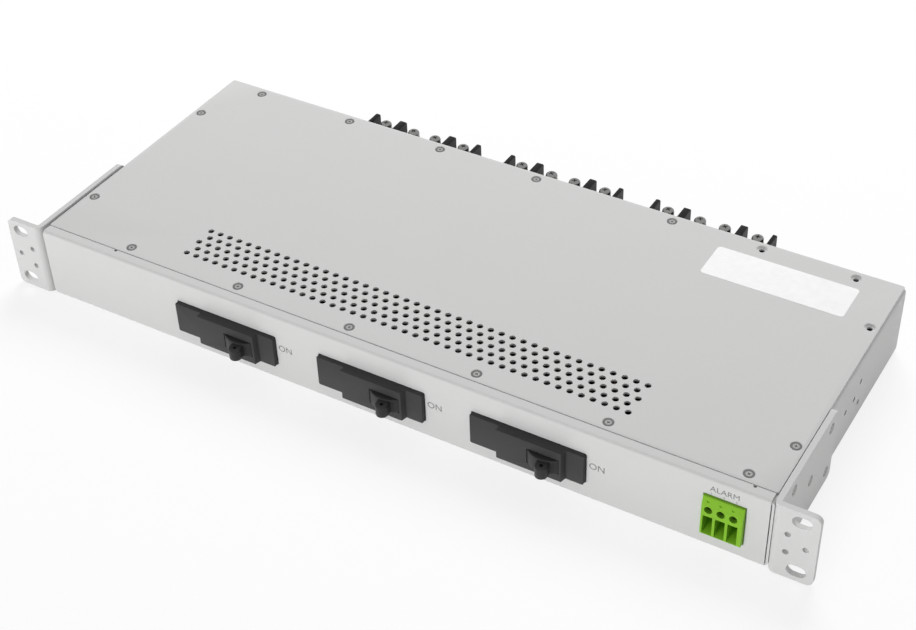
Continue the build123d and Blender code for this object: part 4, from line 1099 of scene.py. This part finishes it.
class PANEL_OT_stage(bpy.types.Operator):
    """Sets up the camera, the soft lamps, the pale world and the floor"""

    bl_idname = "panel.stage"
    bl_label = "Stage"

    def execute(self, context):
        scene = context.scene
        camera_data = bpy.data.cameras.new("camera")
        camera_data.sensor_width = 36.0
        camera_data.lens = CAMERA_LENS
        camera_data.shift_x, camera_data.shift_y = CAMERA_SHIFT
        camera_data.clip_start = 0.05
        camera_data.clip_end = 50.0
        camera = link_object("camera", camera_data)
        look = Vector(CAMERA_LOOK).normalized()
        right = look.cross(Vector(CAMERA_UP)).normalized()
        up = right.cross(look)
        turn = Matrix((right, up, -look)).transposed().to_4x4()
        camera.matrix_world = Matrix.Translation(CAMERA_PLACE) @ turn
        scene.camera = camera
        for lamp in LAMPS:
            soft_lamp(*lamp)
        self.make_world(scene)
        self.make_floor()
        scene.view_settings.view_transform = "Standard"
        return {"FINISHED"}

    def make_world(self, scene):
        """A dim even light all round, which the camera sees as white."""
        scene.world = bpy.data.worlds.new("pale world")
        scene.world.use_nodes = True
        tree = scene.world.node_tree
        tree.nodes.clear()
        plain, white = [
            new_node(tree, "ShaderNodeBackground", {"Color": (1, 1, 1, 1), "Strength": strength}).outputs[0]
            for strength in (WORLD_LIGHT, 1.0)]
        links_to_camera(tree, plain, white, "ShaderNodeOutputWorld")

    def make_floor(self):
        """A pale floor that lets the under lamp through and shows the camera only a faint shadow."""
        level = CAD_BOX[0].z
        mesh = block((-FLOOR_REACH, -FLOOR_REACH, level - 0.01), (FLOOR_REACH, FLOOR_REACH, level - 0.0001))
        floor = link_object("floor", mesh)
        floor.visible_shadow = False
        material = bpy.data.materials.new("pale_floor")
        material.use_nodes = True
        tree = material.node_tree
        tree.nodes.remove(tree.nodes["Material Output"])
        shader = tree.nodes["Principled BSDF"]
        shader.inputs["Base Color"].default_value = FLOOR_GREY
        shader.inputs["Roughness"].default_value = 0.9
        white = new_node(tree, "ShaderNodeEmission", {"Strength": FLOOR_WHITE})
        seen = new_node(tree, "ShaderNodeMixShader", {
            0: FLOOR_SHADOW, 1: white.outputs[0], 2: shader.outputs[0]})
        links_to_camera(tree, shader.outputs[0], seen.outputs[0], "ShaderNodeOutputMaterial")
        mesh.materials.append(material)


def links_to_camera(tree, plain, white, output_kind):
    """Shows white to the camera, in reflections and through clear pieces, and plain to all else."""
    path = new_node(tree, "ShaderNodeLightPath").outputs
    seen = math_node(tree, "MAXIMUM", path["Is Camera Ray"], path["Is Glossy Ray"])
    either = math_node(tree, "MAXIMUM", seen, path["Is Transmission Ray"])
    mix = new_node(tree, "ShaderNodeMixShader", {0: either, 1: plain, 2: white})
    new_node(tree, output_kind, {"Surface": mix.outputs[0]})


def soft_lamp(name, place, width, power):
    """A square area lamp that points at the middle of the panel."""
    lamp = bpy.data.lights.new(name, "AREA")
    lamp.shape = "SQUARE"
    lamp.size = width
    lamp.energy = power
    holder = link_object(name, lamp)
    holder.visible_glossy = False
    target = (CAD_BOX[0] + CAD_BOX[1]) / 2
    aim = (target - Vector(place)).to_track_quat("-Z", "Y").to_matrix().to_4x4()
    holder.matrix_world = Matrix.Translation(place) @ aim


class PANEL_PT_sidebar(bpy.types.Panel):
    """Lists the pieces in the sidebar"""

    bl_label = "Rack breaker panel"
    bl_idname = "PANEL_PT_sidebar"
    bl_space_type = "VIEW_3D"
    bl_region_type = "UI"
    bl_category = "Panel"

    def draw(self, context):
        column = self.layout.column(align=True)
        for operator in OPERATORS:
            column.operator(operator.bl_idname)
        for group in (context.scene.panel_sizes, context.scene.panel_colours):
            box = self.layout.box()
            for name in group.__annotations__:
                box.prop(group, name)


OPERATORS = (
    PANEL_OT_sheet_metal, PANEL_OT_cover, PANEL_OT_flat_screws, PANEL_OT_breaker_cases, PANEL_OT_toggles,
    PANEL_OT_terminal_blocks, PANEL_OT_terminal_screws, PANEL_OT_alarm_plug, PANEL_OT_inner_parts,
    PANEL_OT_markings, PANEL_OT_stage)
CLASSES = (PanelSizes, PanelColours, *OPERATORS, PANEL_PT_sidebar)


def register():
    for cls in CLASSES:
        bpy.utils.register_class(cls)
    bpy.types.Scene.panel_sizes = PointerProperty(type=PanelSizes)
    bpy.types.Scene.panel_colours = PointerProperty(type=PanelColours)


def unregister():
    del bpy.types.Scene.panel_colours
    del bpy.types.Scene.panel_sizes
    for cls in reversed(CLASSES):
        bpy.utils.unregister_class(cls)


def main():
    register()
    for operator in OPERATORS:
        getattr(bpy.ops.panel, operator.bl_idname.split(".")[1])()


if __name__ == "__main__":
    main()
